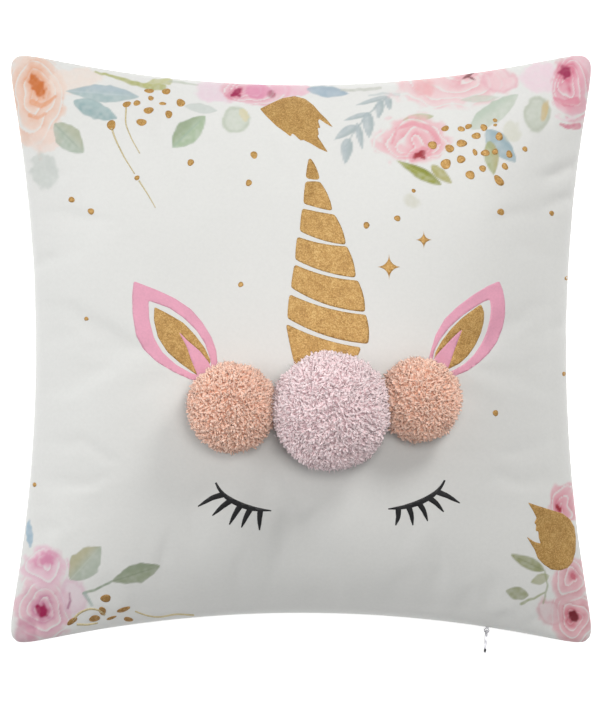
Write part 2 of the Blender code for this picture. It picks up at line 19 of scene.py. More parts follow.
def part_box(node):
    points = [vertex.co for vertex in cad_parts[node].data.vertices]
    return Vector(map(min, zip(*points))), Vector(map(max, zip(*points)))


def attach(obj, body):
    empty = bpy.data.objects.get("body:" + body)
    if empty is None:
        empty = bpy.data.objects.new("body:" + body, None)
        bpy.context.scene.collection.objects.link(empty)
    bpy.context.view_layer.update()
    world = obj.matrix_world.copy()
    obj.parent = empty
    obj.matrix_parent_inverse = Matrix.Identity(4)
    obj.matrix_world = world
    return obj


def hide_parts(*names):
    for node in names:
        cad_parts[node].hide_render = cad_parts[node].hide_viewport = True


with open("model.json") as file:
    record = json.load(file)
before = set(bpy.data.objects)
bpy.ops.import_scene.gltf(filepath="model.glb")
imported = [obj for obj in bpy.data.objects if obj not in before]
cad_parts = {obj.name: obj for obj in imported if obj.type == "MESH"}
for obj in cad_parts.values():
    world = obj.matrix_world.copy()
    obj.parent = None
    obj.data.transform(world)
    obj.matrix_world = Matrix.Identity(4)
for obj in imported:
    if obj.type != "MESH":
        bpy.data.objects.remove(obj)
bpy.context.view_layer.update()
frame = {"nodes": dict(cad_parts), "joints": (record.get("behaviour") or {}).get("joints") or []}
NODES = frame["nodes"]
MM = 0.001
scene = bpy.context.scene

# %% [markdown]
# ## Camera, floor and light
# The cushion is looked at from straight above, with the edge that carries the zip at the bottom of the
# picture. A long lens far away keeps the square's sides nearly parallel, as a catalogue picture does.

# %% Camera
SEAM_HEIGHT = (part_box("cover_seam_thread")[0].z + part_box("cover_seam_thread")[1].z) / 2
SEEN_HEIGHT = 0.5358
SENSOR = 36.0
LENS = 200.0
camera_data = bpy.data.cameras.new("camera")
camera_data.sensor_width = SENSOR
camera_data.lens = LENS
camera_data.clip_end = 20
camera = bpy.data.objects.new("camera", camera_data)
camera.location = (-0.0008, -0.0027, SEAM_HEIGHT + SEEN_HEIGHT * LENS / SENSOR)
scene.collection.objects.link(camera)
scene.camera = camera
print("camera stands", round(camera.location.z, 3), "m above the floor")

# %% [markdown]
# Materials are short trees of nodes. This helper makes a node, fills its sockets and joins the ones
# that take their value from another node, so each tree below reads as a list of what it does.

# %% Node helpers


def node(tree, kind, *, settings=None, **sockets):
    """A new node; settings are its own properties, and each socket takes a value or another socket."""
    made = tree.nodes.new(kind)
    for key, value in (settings or {}).items():
        setattr(made, key, value)
    for key, value in sockets.items():
        place = int(key[1:]) if key[0] == "_" else key.replace("_", " ")
        socket = made.inputs[place]
        if isinstance(value, bpy.types.NodeSocket):
            tree.links.new(value, socket)
        else:
            socket.default_value = value
    return made


def linear(red, green, blue):
    """A colour as a painter would mix it on a screen, from 0 to 255, in the renderer's own scale."""
    scaled = np.array((red, green, blue)) / 255
    return np.where(scaled <= 0.04045, scaled / 12.92, ((scaled + 0.055) / 1.055) ** 2.4)


def rgba(red, green, blue):
    return (*linear(red, green, blue), 1.0)


def new_material(name):
    """(material, tree, shader) with an empty Principled surface."""
    material = bpy.data.materials.new(name)
    material.use_nodes = True
    tree = material.node_tree
    tree.nodes.clear()
    shader = node(tree, "ShaderNodeBsdfPrincipled")
    output = node(tree, "ShaderNodeOutputMaterial")
    tree.links.new(shader.outputs[0], output.inputs["Surface"])
    return material, tree, shader


def place_of(tree):
    return node(tree, "ShaderNodeTexCoord").outputs["Object"]


def ramp(tree, factor, stops):
    """A colour ramp through (position, colour) stops."""
    made = node(tree, "ShaderNodeValToRGB", Fac=factor)
    points = made.color_ramp.elements
    points[0].position, points[0].color = stops[0]
    points[1].position, points[1].color = stops[-1]
    for position, colour in stops[1:-1]:
        points.new(position).color = colour
    return made.outputs["Color"]


def scaled(tree, vector, amount):
    made = node(tree, "ShaderNodeVectorMath", settings={"operation": "SCALE"}, _0=vector)
    if isinstance(amount, bpy.types.NodeSocket):
        tree.links.new(amount, made.inputs["Scale"])
    else:
        made.inputs["Scale"].default_value = amount
    return made.outputs[0]


def bump(tree, height, distance, strength, under=None):
    more = {"Normal": under} if under is not None else {}
    return node(
        tree, "ShaderNodeBump", Height=height, Distance=distance, Strength=strength, **more
    ).outputs["Normal"]


# %% [markdown]
# The floor is nearly white and glows a little, so that the cushion's shadow on it stays faint.

# %% Floor
floor_material, _, floor_shader = new_material("white_floor")
floor_shader.inputs["Base Color"].default_value = (0.9, 0.9, 0.9, 1)
floor_shader.inputs["Roughness"].default_value = 0.9
floor_shader.inputs["Emission Color"].default_value = (1, 1, 1, 1)
floor_shader.inputs["Emission Strength"].default_value = 0.6
floor_mesh = bpy.data.meshes.new("floor")
floor_mesh.from_pydata([(-6, -6, 0), (6, -6, 0), (6, 6, 0), (-6, 6, 0)], [], [(0, 1, 2, 3)])
floor_mesh.materials.append(floor_material)
floor = bpy.data.objects.new("floor", floor_mesh)
scene.collection.objects.link(floor)

# %% [markdown]
# A product shot is lit from close to the camera: a soft light overhead, which keeps the yarn's
# contrast low and lets the cushion darken towards its rim. A smaller key past the top right corner
# throws the pompoms' soft shadows down to the left, and a broad side light lifts the left half.

# %% Lights
scene.view_settings.view_transform = "Standard"
scene.view_settings.look = "None"
world = bpy.data.worlds.new("studio")
scene.world = world
world.use_nodes = True
world_tree = world.node_tree
world_tree.nodes.clear()
path_kind = node(world_tree, "ShaderNodeLightPath").outputs["Is Camera Ray"]
sky_strength = node(
    world_tree, "ShaderNodeMapRange", Value=path_kind, To_Min=0.18, To_Max=1.0
).outputs[0]
sky = node(world_tree, "ShaderNodeBackground", Color=(0.97, 0.985, 1, 1), Strength=sky_strength)
sky_out = node(world_tree, "ShaderNodeOutputWorld")
world_tree.links.new(sky.outputs[0], sky_out.inputs["Surface"])


def soft_light(name, place, aim, size, power, colour=(1, 1, 1)):
    data = bpy.data.lights.new(name, "AREA")
    data.shape = "DISK"
    data.size = size
    data.energy = power
    data.color = colour
    light = bpy.data.objects.new(name, data)
    light.location = place
    light.rotation_euler = (Vector(aim) - Vector(place)).to_track_quat("-Z", "Y").to_euler()
    scene.collection.objects.link(light)


soft_light("overhead", (0.2, 0.2, 2.3), (0, 0, 0.08), 0.7, 18.6, (1, 0.992, 0.975))
soft_light("key", (0.75, 1.0, 1.3), (0, 0.02, 0.08), 0.5, 10.4, (1, 0.995, 0.985))
soft_light("side", (-1.4, 0.3, 1.0), (0, 0.02, 0.08), 1.0, 11.6, (0.985, 0.995, 1))

# %% [markdown]
# ## The cover
# The real cover is two square panels of thin satiny polyester sewn together along the edge and turned
# right side out. Filled, each panel bows up to a crown, its sides pull in between the corners, and
# the cloth puckers where the flat panel is forced round the edge. The shape comes from the same rule
# as the CAD: a flat plan with bowed sides, and a crown that falls away to it.

# %% The cover's shape
COVER_HALF = (0.2250, 0.2280)
BOWS = (0.0235, 0.0275)
CORNER_PULL = 0.034
CORNER_POWER = 22
FRONT_CROWN = 0.070
BACK_CROWN = 0.072
REST_DEPTH = 0.060
REST_EASE = 1.1
CROWN_POWER = 0.62
CLOTH = 0.0008
HEM_RISE = 0.0018


def bow_inset(along, half_chord, bow):
    radius = (half_chord**2 + bow**2) / (2 * bow)
    return bow - radius + np.sqrt(np.maximum(radius**2 - along**2, 0))


def plan_places(u, v):
    """Where the points (u, v), from -1 to 1, of a square panel lie once its sides have bowed in."""
    x, y = u * COVER_HALF[0], v * COVER_HALF[1]
    x_in = u * np.abs(u) * bow_inset(y, COVER_HALF[1], BOWS[0])
    y_in = v * np.abs(v) * bow_inset(x, COVER_HALF[0], BOWS[1])
    rounding = 1 - CORNER_PULL * np.abs(u * v) ** CORNER_POWER
    return (x - x_in) * rounding, (y - y_in) * rounding


def crown(u, v, height):
    return height * np.maximum(0, (1 - u * u) * (1 - v * v)) ** CROWN_POWER


def rested(drop):
    """The back's drop below the seam, eased to a stop where it lies on the floor."""
    reach = min(REST_DEPTH * REST_EASE, BACK_CROWN)
    left = np.maximum(0, 1 - drop / reach)
    return REST_DEPTH * (1 - left**REST_EASE)


def panel_places(u, v, front):
    """The outside of the front or back panel as an array of places."""
    x, y = plan_places(u, v)
    if front:
        z = SEAM_HEIGHT + HEM_RISE + crown(u, v, FRONT_CROWN)
    else:
        z = SEAM_HEIGHT - HEM_RISE - rested(crown(u, v, BACK_CROWN))
    return np.stack((x, y, np.broadcast_to(z, x.shape)), axis=-1)


COARSE = 104
FINE = 4 * COARSE


def grid_values(steps):
    """Places across a panel from -1 to 1, a little closer together near the seams."""
    even = np.linspace(-1, 1, steps + 1)
    return 0.6 * even + 0.4 * np.sin(even * math.pi / 2)


def grid_uv(steps):
    values = grid_values(steps)
    return np.meshgrid(values, values, indexing="ij")


def grid_normals(points, front):
    along, across = np.gradient(points, axis=0), np.gradient(points, axis=1)
    normal = np.cross(along, across)
    normal /= np.maximum(np.linalg.norm(normal, axis=-1, keepdims=True), 1e-12)
    return normal if front else -normal


print("front crown", round(float(panel_places(np.zeros(1), np.zeros(1), True)[0, 2]), 4), "m up")

# %% [markdown]
# The creases come from a cloth simulation. A panel a little too big for its seam is pinned along the
# seam and blown up from inside, and it buckles as the sewn cloth does. Only the creases are kept: the
# broad swell is taken off again, so the panel keeps the frame's own crown.

# %% Blow a panel up and keep its creases
FRAMES = 20
CREASE_BLUR = 9


def quads_of(steps, front=True):
    index = np.arange((steps + 1) ** 2).reshape(steps + 1, steps + 1)
    faces = np.stack((index[:-1, :-1], index[1:, :-1], index[1:, 1:], index[:-1, 1:]), axis=-1)
    faces = faces.reshape(-1, 4)
    return faces if front else faces[:, ::-1]


def blurred(field, radius):
    """The field averaged over a square of that radius, three times, which is nearly a soft blur."""
    for _ in range(3):
        for axis in (0, 1):
            padded = np.pad(field, [(radius + 1, radius) if a == axis else (0, 0) for a in (0, 1)],
                            mode="edge")
            total = np.cumsum(padded, axis=axis)
            width = 2 * radius + 1
            high = np.take(total, range(width, total.shape[axis]), axis=axis)
            low = np.take(total, range(total.shape[axis] - width), axis=axis)
            field = (high - low) / width
    return field


def blown_up(front, growth, pressure, stiffness):
    """How far each point of the coarse panel moved outwards when the cloth was blown up, in metres."""
    u, v = grid_uv(COARSE)
    start = panel_places(u, v, front)
    mesh = bpy.data.meshes.new("blown_panel")
    mesh.from_pydata(start.reshape(-1, 3).tolist(), [], quads_of(COARSE, front).tolist())
    panel = bpy.data.objects.new("blown_panel", mesh)
    scene.collection.objects.link(panel)
    edge = (np.abs(u) > 0.9999) | (np.abs(v) > 0.9999)
    seam = panel.vertex_groups.new(name="seam")
    seam.add(np.nonzero(edge.ravel())[0].tolist(), 1.0, "REPLACE")
    cloth = panel.modifiers.new("cloth", "CLOTH")
    made = cloth.settings
    made.vertex_group_mass = "seam"
    made.quality = 6
    made.mass = 0.2
    made.tension_stiffness = 25
    made.compression_stiffness = 12
    made.shear_stiffness = 5
    made.bending_stiffness = stiffness
    made.shrink_min = -growth
    made.use_pressure = True
    made.uniform_pressure_force = pressure
    made.effector_weights.gravity = 0
    cloth.collision_settings.use_collision = False
    cloth.point_cache.frame_start = 1
    cloth.point_cache.frame_end = FRAMES
    for step in range(1, FRAMES + 1):
        scene.frame_set(step)
    evaluated = panel.evaluated_get(bpy.context.evaluated_depsgraph_get())
    moved = np.empty(len(mesh.vertices) * 3)
    evaluated.data.vertices.foreach_get("co", moved)
    moved = moved.reshape(start.shape)
    scene.frame_set(1)
    bpy.data.objects.remove(panel)
    bpy.data.meshes.remove(mesh)
    return ((moved - start) * grid_normals(start, front)).sum(axis=-1)


def creases(front, growth=0.022, pressure=4.0, stiffness=0.4):
    """The fine part of the blown-up panel's movement: ridges above 0, hollows below."""
    moved = blown_up(front, growth, pressure, stiffness)
    return moved - blurred(moved, CREASE_BLUR)


front_creases = creases(True)
back_creases = creases(False)
for name, field in (("front", front_creases), ("back", back_creases)):
    print(name, "creases", round(1000 * float(field.min()), 2), "to",
          round(1000 * float(field.max()), 2), "mm")

# %% [markdown]
# The creases are faded out under the pompoms, which stand on the cloth, and beside the seam, whose
# line the zip has to follow. A few longer folds run in from the side edges, where the seam pulls.
# Then the coarse creases are refined twice, each time halving the grid with the weights of a smooth
# spline, the same ones as subdivision uses.

# %% Lay the creases on the panels
CREASE_GAIN = 0.60
DEEPEST = 0.0021
HIGHEST = 0.0026
FOLD_WIDTH = 0.0042
FOLD_SHARE = 0.4
EDGE_FOLDS = (
    # its end at the edge and its inner end in millimetres, and its depth in metres
    ((212, 140), (182, 128), 0.0034),
    ((210, 116), (180, 106), 0.0027),
    ((208, 20), (184, 14), 0.0014),
    ((-206, 62), (-184, 70), 0.0015),
)
FLAT_BACK = 0.004


def smooth_step(value, low, high):
    t = np.clip((value - low) / (high - low), 0, 1)
    return t * t * (3 - 2 * t)


def refined(field):
    """The field on a grid twice as fine, eased by a smooth spline's weights."""
    for axis in (0, 1):
        field = np.moveaxis(field, axis, 0)
        ends = np.concatenate((field[:1], field, field[-1:]))
        finer = np.empty((2 * len(field) - 1, *field.shape[1:]))
        finer[::2] = (ends[:-2] + 6 * field + ends[2:]) / 8
        finer[1::2] = (field[:-1] + field[1:]) / 2
        field = np.moveaxis(finer, 0, axis)
    return field


def seam_distance(points):
    """How far each point of a panel's grid lies from the seam, across the cloth, in metres."""
    u, v = grid_uv(len(points) - 1)
    return np.minimum((1 - np.abs(u)) * COVER_HALF[0], (1 - np.abs(v)) * COVER_HALF[1])


POMPOMS = {}
for name in ("left", "middle", "right"):
    low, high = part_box(f"pompom_{name}_pile")
    reach = (high.x - low.x) / 2
    POMPOMS[name] = (Vector(((low.x + high.x) / 2, (low.y + high.y) / 2, high.z - reach)), reach)


def crease_height(field, places):
    """The creases as they are laid on: in bounds, still beside the seam and under the pompoms."""
    height = CREASE_GAIN * field
    height = np.where(height > 0, HIGHEST * np.tanh(height / HIGHEST),
                      DEEPEST * np.tanh(height / DEEPEST))
    height = height * smooth_step(seam_distance(places), 0.001, 0.016)
    for centre, reach in POMPOMS.values():
        away = np.hypot(places[..., 0] - centre.x, places[..., 1] - centre.y)
        height = height * smooth_step(away, 0.8 * reach, 1.5 * reach)
    return height


def pulled_folds(places):
    """Soft hollows that run in from the side edges, each fading out towards the middle."""
    hollow = np.zeros(places.shape[:2])
    for edge_end, inner_end, depth in EDGE_FOLDS:
        start, end = np.array(edge_end) * MM, np.array(inner_end) * MM
        run = np.linalg.norm(end - start)
        way = (end - start) / run
        offset = places[..., :2] - start
        along = offset @ way / run
        across = offset @ np.array((-way[1], way[0]))
        fade = smooth_step(along, -0.25, 0.2) * (1 - smooth_step(along, 0.55, 1.15))
        hollow -= depth * fade * np.exp(-(across / FOLD_WIDTH) ** 2)
    return np.maximum(hollow, -FOLD_SHARE * (places[..., 2] - SEAM_HEIGHT))


def creased_panel(field, front):
    """(coarse, fine) points of a panel with its creases laid on."""
    u, v = grid_uv(COARSE)
    coarse = panel_places(u, v, front)
    height = crease_height(field, coarse)
    if front:
        height = height + pulled_folds(coarse)
    else:
        height = np.where(coarse[..., 2] < FLAT_BACK, 0, height)
    fine_height = refined(refined(height))
    u, v = grid_uv(FINE)
    fine = panel_places(u, v, front)
    fine = fine + grid_normals(fine, front) * fine_height[..., None]
    coarse = coarse + grid_normals(coarse, front) * height[..., None]
    if not front:
        fine[..., 2] = np.maximum(fine[..., 2], 0)
        coarse[..., 2] = np.maximum(coarse[..., 2], 0)
    return coarse, fine


front_coarse, front_fine = creased_panel(front_creases, True)
back_coarse, back_fine = creased_panel(back_creases, False)
print("front panel", front_fine.shape[:2], "points, up to", round(float(front_fine[..., 2].max()), 4))

# %% [markdown]
# Each panel becomes a closed shell: a fine outside, a coarser inside one cloth's thickness within, and
# a rounded lip that turns in at the seam. The two lips meet, apart from the slit that the zip opens.

# %% Panel shells
ZIP_SPAN = (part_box("zip_tape_front")[0].x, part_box("zip_tape_front")[1].x)
LIP = ((0.00012, 0.0012), (0.00045, 0.0006))
LIP_DEPTH = 0.0011
CLOSED_GAP = 0.00005
ZIP_GAP = 0.0005
BOTTOM_EDGE = -0.19


def rim_loop(steps):
    """The indices of a grid's outer points, once round."""
    index = np.arange((steps + 1) ** 2).reshape(steps + 1, steps + 1)
    return np.concatenate((index[:-1, 0], index[-1, :-1], index[:0:-1, -1], index[0, :0:-1]))


def lip_gap(points):
    """Half the slit's height beside each point of the seam: open only along the zip."""
    beside = smooth_step(points[:, 0], ZIP_SPAN[0] - 0.004, ZIP_SPAN[0] + 0.004)
    beside = beside * (1 - smooth_step(points[:, 0], ZIP_SPAN[1] - 0.002, ZIP_SPAN[1] + 0.004))
    along_zip = (points[:, 1] < BOTTOM_EDGE) * beside
    return CLOSED_GAP + (ZIP_GAP - CLOSED_GAP) * along_zip


def lip_ring(edge, depth, gap, front):
    """The seam's line moved in by depth and set gap off the seam's middle plane."""
    ring = edge.copy()
    inward = -edge[:, :2] / np.abs(edge[:, :2]).max(axis=1, keepdims=True)
    ring[:, :2] += inward * depth
    ring[:, 2] = SEAM_HEIGHT + np.where(front, 1, -1) * gap
    return ring


def panel_shell(name, coarse, fine, front):
    """One closed mesh of the panel, with a map that gives the outside most of the room."""
    outside = fine.reshape(-1, 3)
    inside = (coarse - grid_normals(coarse, front) * CLOTH).reshape(-1, 3)
    fine_rim, coarse_rim = rim_loop(FINE), rim_loop(COARSE)
    edge = outside[fine_rim]
    rings = [lip_ring(edge, depth, rise, front) for depth, rise in LIP]
    rings.append(lip_ring(edge, LIP_DEPTH, lip_gap(edge), front))
    inner_edge = lip_ring(coarse.reshape(-1, 3)[coarse_rim], LIP_DEPTH + 0.0004, 0.0010, front)
    inside[coarse_rim] = inner_edge
    points = np.concatenate([outside, *rings, inside])
    starts = np.cumsum([0, len(outside), *[len(r) for r in rings]])
    faces = quads_of(FINE, front).tolist()
    loops = [fine_rim] + [np.arange(len(edge)) + start for start in starts[1:-1]]
    for outer, inner in zip(loops[:-1], loops[1:]):
        ring = np.stack((outer, inner, np.roll(inner, -1), np.roll(outer, -1)), axis=-1)
        faces += (ring if front else ring[:, ::-1]).tolist()
    inner_rim = coarse_rim + starts[-1]
    split = FINE // COARSE
    last = loops[-1]
    for k, (near, far) in enumerate(zip(inner_rim, np.roll(inner_rim, -1))):
        run = [last[(split * k + j) % len(last)] for j in range(split + 1)]
        middle = split // 2
        fans = [(run[j], near, run[j + 1]) for j in range(middle)]
        fans += [(run[j], far, run[j + 1]) for j in range(middle, split)]
        fans.append((run[middle], near, far))
        faces += [tuple(int(i) for i in (fan if front else fan[::-1])) for fan in fans]
    faces += (quads_of(COARSE, not front) + starts[-1]).tolist()
    mesh = bpy.data.meshes.new(name)
    mesh.from_pydata(points.tolist(), [], faces)
    mesh.polygons.foreach_set("use_smooth", np.ones(len(mesh.polygons), bool))
    even_fine = np.stack(np.meshgrid(*[np.linspace(0, 1, FINE + 1)] * 2, indexing="ij"), axis=-1)
    even_coarse = np.stack(np.meshgrid(*[np.linspace(0, 1, COARSE + 1)] * 2, indexing="ij"), axis=-1)
    outer_map = even_fine.reshape(-1, 2) * (0.86, 0.98) + (0.01, 0.01)
    inner_map = even_coarse.reshape(-1, 2) * (0.09, 0.98) + (0.90, 0.01)
    all_map = np.concatenate([outer_map, *[outer_map[fine_rim]] * len(rings), inner_map])
    corners = np.empty(len(mesh.loops), int)
    mesh.loops.foreach_get("vertex_index", corners)
    room = mesh.uv_layers.new(name="OFBake")
    room.data.foreach_set("uv", all_map[corners].ravel())
    mesh.validate()
    made = bpy.data.objects.new(name, mesh)
    scene.collection.objects.link(made)
    return made


front_panel = panel_shell("cover_front_cloth", front_coarse, front_fine, True)
back_panel = panel_shell("cover_back_cloth", back_coarse, back_fine, False)
for panel in (front_panel, back_panel):
    shell = bmesh.new()
    shell.from_mesh(panel.data)
    open_edges = sum(1 for e in shell.edges if not e.is_manifold)
    print(panel.name, len(panel.data.polygons), "faces,", open_edges, "open edges,",
          round(1e6 * shell.calc_volume(signed=True), 1), "cm3")
    shell.free()

# %% [markdown]
# ## The print
# The flowers and leaves are printed watercolours, soft at their edges and grained by the paper they
# were painted on. They are painted here in the same way: one wash of colour after another, each with
# a ragged outline, laid over the cloth's own white. The colours are kept on the panel's points.

# %% Painting tools
front_places = 1000 * panel_places(*grid_uv(FINE), True).reshape(-1, 3)
SHEET_X, SHEET_Y = front_places[:, 0], front_places[:, 1]
CLOTH_WHITE = linear(240, 240, 237)
paint = np.tile(CLOTH_WHITE, (len(front_places), 1))
NOISE_CELLS = 64


def cloud(x, y, cell, seed):
    """Soft random values from -1 to 1 that change over about one cell, in millimetres."""
    table = np.random.default_rng(seed).uniform(-1, 1, (NOISE_CELLS, NOISE_CELLS))
    ix, iy = np.floor(x / cell).astype(int), np.floor(y / cell).astype(int)
    fx, fy = x / cell - ix, y / cell - iy
    fx, fy = fx * fx * (3 - 2 * fx), fy * fy * (3 - 2 * fy)
    ix, iy, jx, jy = ix % NOISE_CELLS, iy % NOISE_CELLS, (ix + 1) % NOISE_CELLS, (iy + 1) % NOISE_CELLS
    low = table[ix, iy] * (1 - fx) + table[jx, iy] * fx
    high = table[ix, jy] * (1 - fx) + table[jx, jy] * fx
    return low * (1 - fy) + high * fy


def near(centre, reach):
    """The panel's points in a square round the centre."""
    return np.nonzero((np.abs(SHEET_X - centre[0]) < reach) & (np.abs(SHEET_Y - centre[1]) < reach))[0]


def lay(where, cover, colour):
    """Lays a colour over the paint at those points, as thick as cover, from 0 to 1."""
    cover = np.clip(cover, 0, 1)[:, None]
    paint[where] = paint[where] * (1 - cover) + np.asarray(colour) * cover


def dab(centre, size, colour, turn=0, strength=0.8, edge=0.14, ragged=0.16, rim=None, seed=1):
    """A ragged oval of colour, with a darker line just inside its edge where rim names a colour."""
    where = near(centre, 1.6 * max(size))
    x, y = SHEET_X[where] - centre[0], SHEET_Y[where] - centre[1]
    c, s = math.cos(math.radians(turn)), math.sin(math.radians(turn))
    reach = np.hypot((x * c + y * s) / size[0], (y * c - x * s) / size[1])
    cell = max(2.5, 0.45 * min(size))
    reach = reach + ragged * cloud(SHEET_X[where], SHEET_Y[where], cell, seed)
    reach = reach + 0.4 * ragged * cloud(SHEET_X[where], SHEET_Y[where], 2.2, seed + 50)
    grain = 1 + 0.16 * cloud(SHEET_X[where], SHEET_Y[where], 2.4, seed + 90)
    cover = strength * grain * smooth_step(1 - reach, -edge, edge)
    lay(where, cover, colour)
    if rim is not None:
        line = np.exp(-(((reach - 0.88) / 0.13) ** 2))
        lay(where, 0.55 * strength * grain * line, rim)


def stroke(points, widths, colour, strength=0.8, seed=1, edge=0.5):
    """A brush stroke along the points, its half width running between the two widths, in millimetres."""
    points = np.asarray(points, float)
    middle, reach = points.mean(axis=0), np.ptp(points, axis=0).max() / 2 + 3 * max(widths) + 2
    where = near(middle, reach)
    x, y = SHEET_X[where], SHEET_Y[where]
    x = x + 0.5 * cloud(x, y, 4, seed)
    y = y + 0.5 * cloud(x, y, 4, seed + 1)
    lengths = np.concatenate(([0], np.cumsum(np.linalg.norm(np.diff(points, axis=0), axis=1))))
    gap = np.full(len(where), 1e9)
    for i in range(len(points) - 1):
        a, d = points[i], points[i + 1] - points[i]
        t = np.clip(((x - a[0]) * d[0] + (y - a[1]) * d[1]) / max(d @ d, 1e-9), 0, 1)
        share = (lengths[i] + t * (lengths[i + 1] - lengths[i])) / lengths[-1]
        half = widths[0] + (widths[1] - widths[0]) * share
        gap = np.minimum(gap, np.hypot(x - a[0] - t * d[0], y - a[1] - t * d[1]) - half)
    grain = 1 + 0.2 * cloud(SHEET_X[where], SHEET_Y[where], 2.2, seed + 2)
    lay(where, strength * grain * smooth_step(-gap, -edge, edge), colour)


def leaf(base, tip, width, colour, strength=0.8, blunt=0.8, vein=None, seed=1, tint=None):
    """A leaf from its stalk end to its tip, widest where blunt says, its far half tinted if asked."""
    base, tip = np.asarray(base, float), np.asarray(tip, float)
    long = np.linalg.norm(tip - base)
    along = (tip - base) / long
    where = near((base + tip) / 2, long)
    x, y = SHEET_X[where] - base[0], SHEET_Y[where] - base[1]
    s = (x * along[0] + y * along[1]) / long
    off = y * along[0] - x * along[1]
    half = width * np.sin(math.pi * np.clip(s, 0, 1) ** blunt) ** 0.8
    half = half * (1 + 0.12 * cloud(SHEET_X[where], SHEET_Y[where], 4, seed))
    inside = smooth_step(half - np.abs(off), -0.5, 0.9) * (s > 0) * (s < 1)
    grain = 1 + 0.18 * cloud(SHEET_X[where], SHEET_Y[where], 2.6, seed + 3)
    lay(where, strength * grain * inside, colour)
    if tint is not None:
        side = smooth_step(off / width, -0.3, 0.7)
        lay(where, 0.7 * strength * inside * side, tint)
    edge_line = np.exp(-((np.abs(half - np.abs(off)) / 0.7) ** 2)) * inside
    lay(where, 0.25 * strength * edge_line, np.asarray(colour) * 0.55)
    if vein is not None:
        line = np.exp(-((off / 0.55) ** 2)) * inside * smooth_step(1 - s, 0, 0.3)
        lay(where, 0.6 * strength * line, vein)


print("cloth white", [round(float(c), 3) for c in CLOTH_WHITE], "on", len(paint), "points")

# %% [markdown]
# A painted rose is a spiral: each brush mark starts deep at the petal's base, fades outwards, and
# leaves a thin line of bare cloth before the next. The spiral tightens towards a dark heart that lies
# off the middle, and soft seeded noise bends it, so no two petals match.

# %% Roses


def rose(centre, size, petal, deep, heart, heart_at, seed, rings=3, heart_size=(3.4, 2.6)):
    """A loose watercolour rose; centre, size and heart_at in millimetres."""
    centre, heart_at = np.asarray(centre, float), np.asarray(heart_at, float)
    where = near(centre, 1.5 * max(size))
    x, y = SHEET_X[where], SHEET_Y[where]
    bent_x, bent_y = x + 1.5 * cloud(x, y, 8, seed), y + 1.5 * cloud(x, y, 8, seed + 1)
    reach = np.ones(len(where))
    for _ in range(3):
        middle = heart_at + (centre - heart_at) * np.clip(reach, 0, 1)[:, None]
        off_x, off_y = (bent_x - middle[:, 0]) / size[0], (bent_y - middle[:, 1]) / size[1]
        reach = np.hypot(off_x, off_y)
    angle = np.arctan2(off_y, off_x)
    spiral = 1.5 * rings * reach**0.8 + angle / (2 * math.pi) + 0.22 * np.sin(3 * angle + seed)
    spiral = spiral + 0.25 * cloud(x, y, 9, seed + 2)
    across = spiral - np.floor(spiral)
    patch = 0.5 + 0.5 * cloud(x, y, 7, seed + 3)
    depth = np.clip((1 - across) ** 1.5 * (0.25 + 0.9 * patch) * (1.2 - 0.6 * reach), 0, 1)[:, None]
    glint = (0.75 * np.exp(-(((across - 0.9) / 0.09) ** 2)) + 0.25 * np.clip(reach, 0, 1))[:, None]
    body = np.asarray(petal) * (1 - depth) + np.asarray(deep) * depth
    body = body * (1 - np.clip(glint, 0, 1)) + CLOTH_WHITE * 0.98 * np.clip(glint, 0, 1)
    grain = 1 + 0.12 * cloud(x, y, 2.4, seed + 4)
    ragged = 1 - reach + 0.16 * cloud(x, y, 6, seed + 5) + 0.05 * cloud(x, y, 2.2, seed + 6)
    lay(where, 0.9 * grain * smooth_step(ragged, -0.10, 0.16), body)
    dab(heart_at, np.array(heart_size) * 1.8, deep, 20, 0.65, 0.4, 0.3, seed=seed + 31)
    dab(heart_at, heart_size, heart, 30, 0.95, 0.3, 0.35, seed=seed + 32)
    dab(heart_at + (1.2, -1.6), np.array(heart_size) * 0.6, heart, -30, 0.9, 0.3, 0.3, seed=seed + 33)


PEACH, APRICOT, ORANGE = linear(247, 214, 196), linear(240, 170, 130), linear(214, 120, 58)
ROSE_PINK, DEEP_PINK, MAGENTA = linear(244, 196, 208), linear(226, 128, 156), linear(168, 28, 84)
CRIMSON = linear(166, 40, 52)
SAGE, MOSS, OLIVE = linear(176, 190, 172), linear(150, 164, 132), linear(158, 162, 66)
MIST, TEAL_GREY, SLATE = linear(206, 214, 208), linear(164, 190, 192), linear(152, 174, 190)

# the top edge, from the left corner to the right one
dab((-208, 208), (15, 14), linear(248, 222, 208), 0, 0.8, 0.2, seed=10)
rose((-201, 186), (22, 37), PEACH, APRICOT, ORANGE, (-200, 200), 11, heart_size=(4.6, 8.0))
dab((-172, 203), (20, 10), linear(250, 232, 220), 8, 0.6, seed=12)
stroke([(-204, 187), (-197, 184), (-190, 187), (-186, 191)], (2.2, 1.2), APRICOT, 0.75, seed=13)
stroke([(-205, 177), (-199, 174.5), (-193, 178)], (1.8, 1.0), APRICOT, 0.7, seed=14)
dab((-194, 158), (13, 9), linear(250, 226, 214), 0, 0.6, seed=15)
leaf((-186, 170), (-163, 147), 9, SAGE, 0.8, 0.9, linear(150, 166, 150), 16,
     tint=linear(190, 190, 160))
dab((-194, 135), (11, 14), linear(206, 212, 206), 12, 0.65, seed=17)
leaf((-178, 195), (-122, 191), 6.5, TEAL_GREY, 0.75, 1.1, linear(210, 220, 225), 18,
     tint=linear(190, 204, 216))
leaf((-172, 187), (-138, 173), 7, linear(150, 180, 182), 0.8, 0.85, None, 19, tint=linear(188, 208, 208))
stroke([(-156, 210), (-143, 207), (-128, 202), (-113, 198.5), (-104, 199)], (0.7, 2.4),
       linear(184, 186, 112), 0.8, seed=20)
stroke([(-118, 200), (-110, 203), (-100, 203)], (1.4, 2.4), linear(196, 196, 130), 0.75, seed=21)
stroke([(-100, 203), (-90, 202), (-78, 200)], (0.9, 0.5), linear(190, 198, 180), 0.6, seed=22)
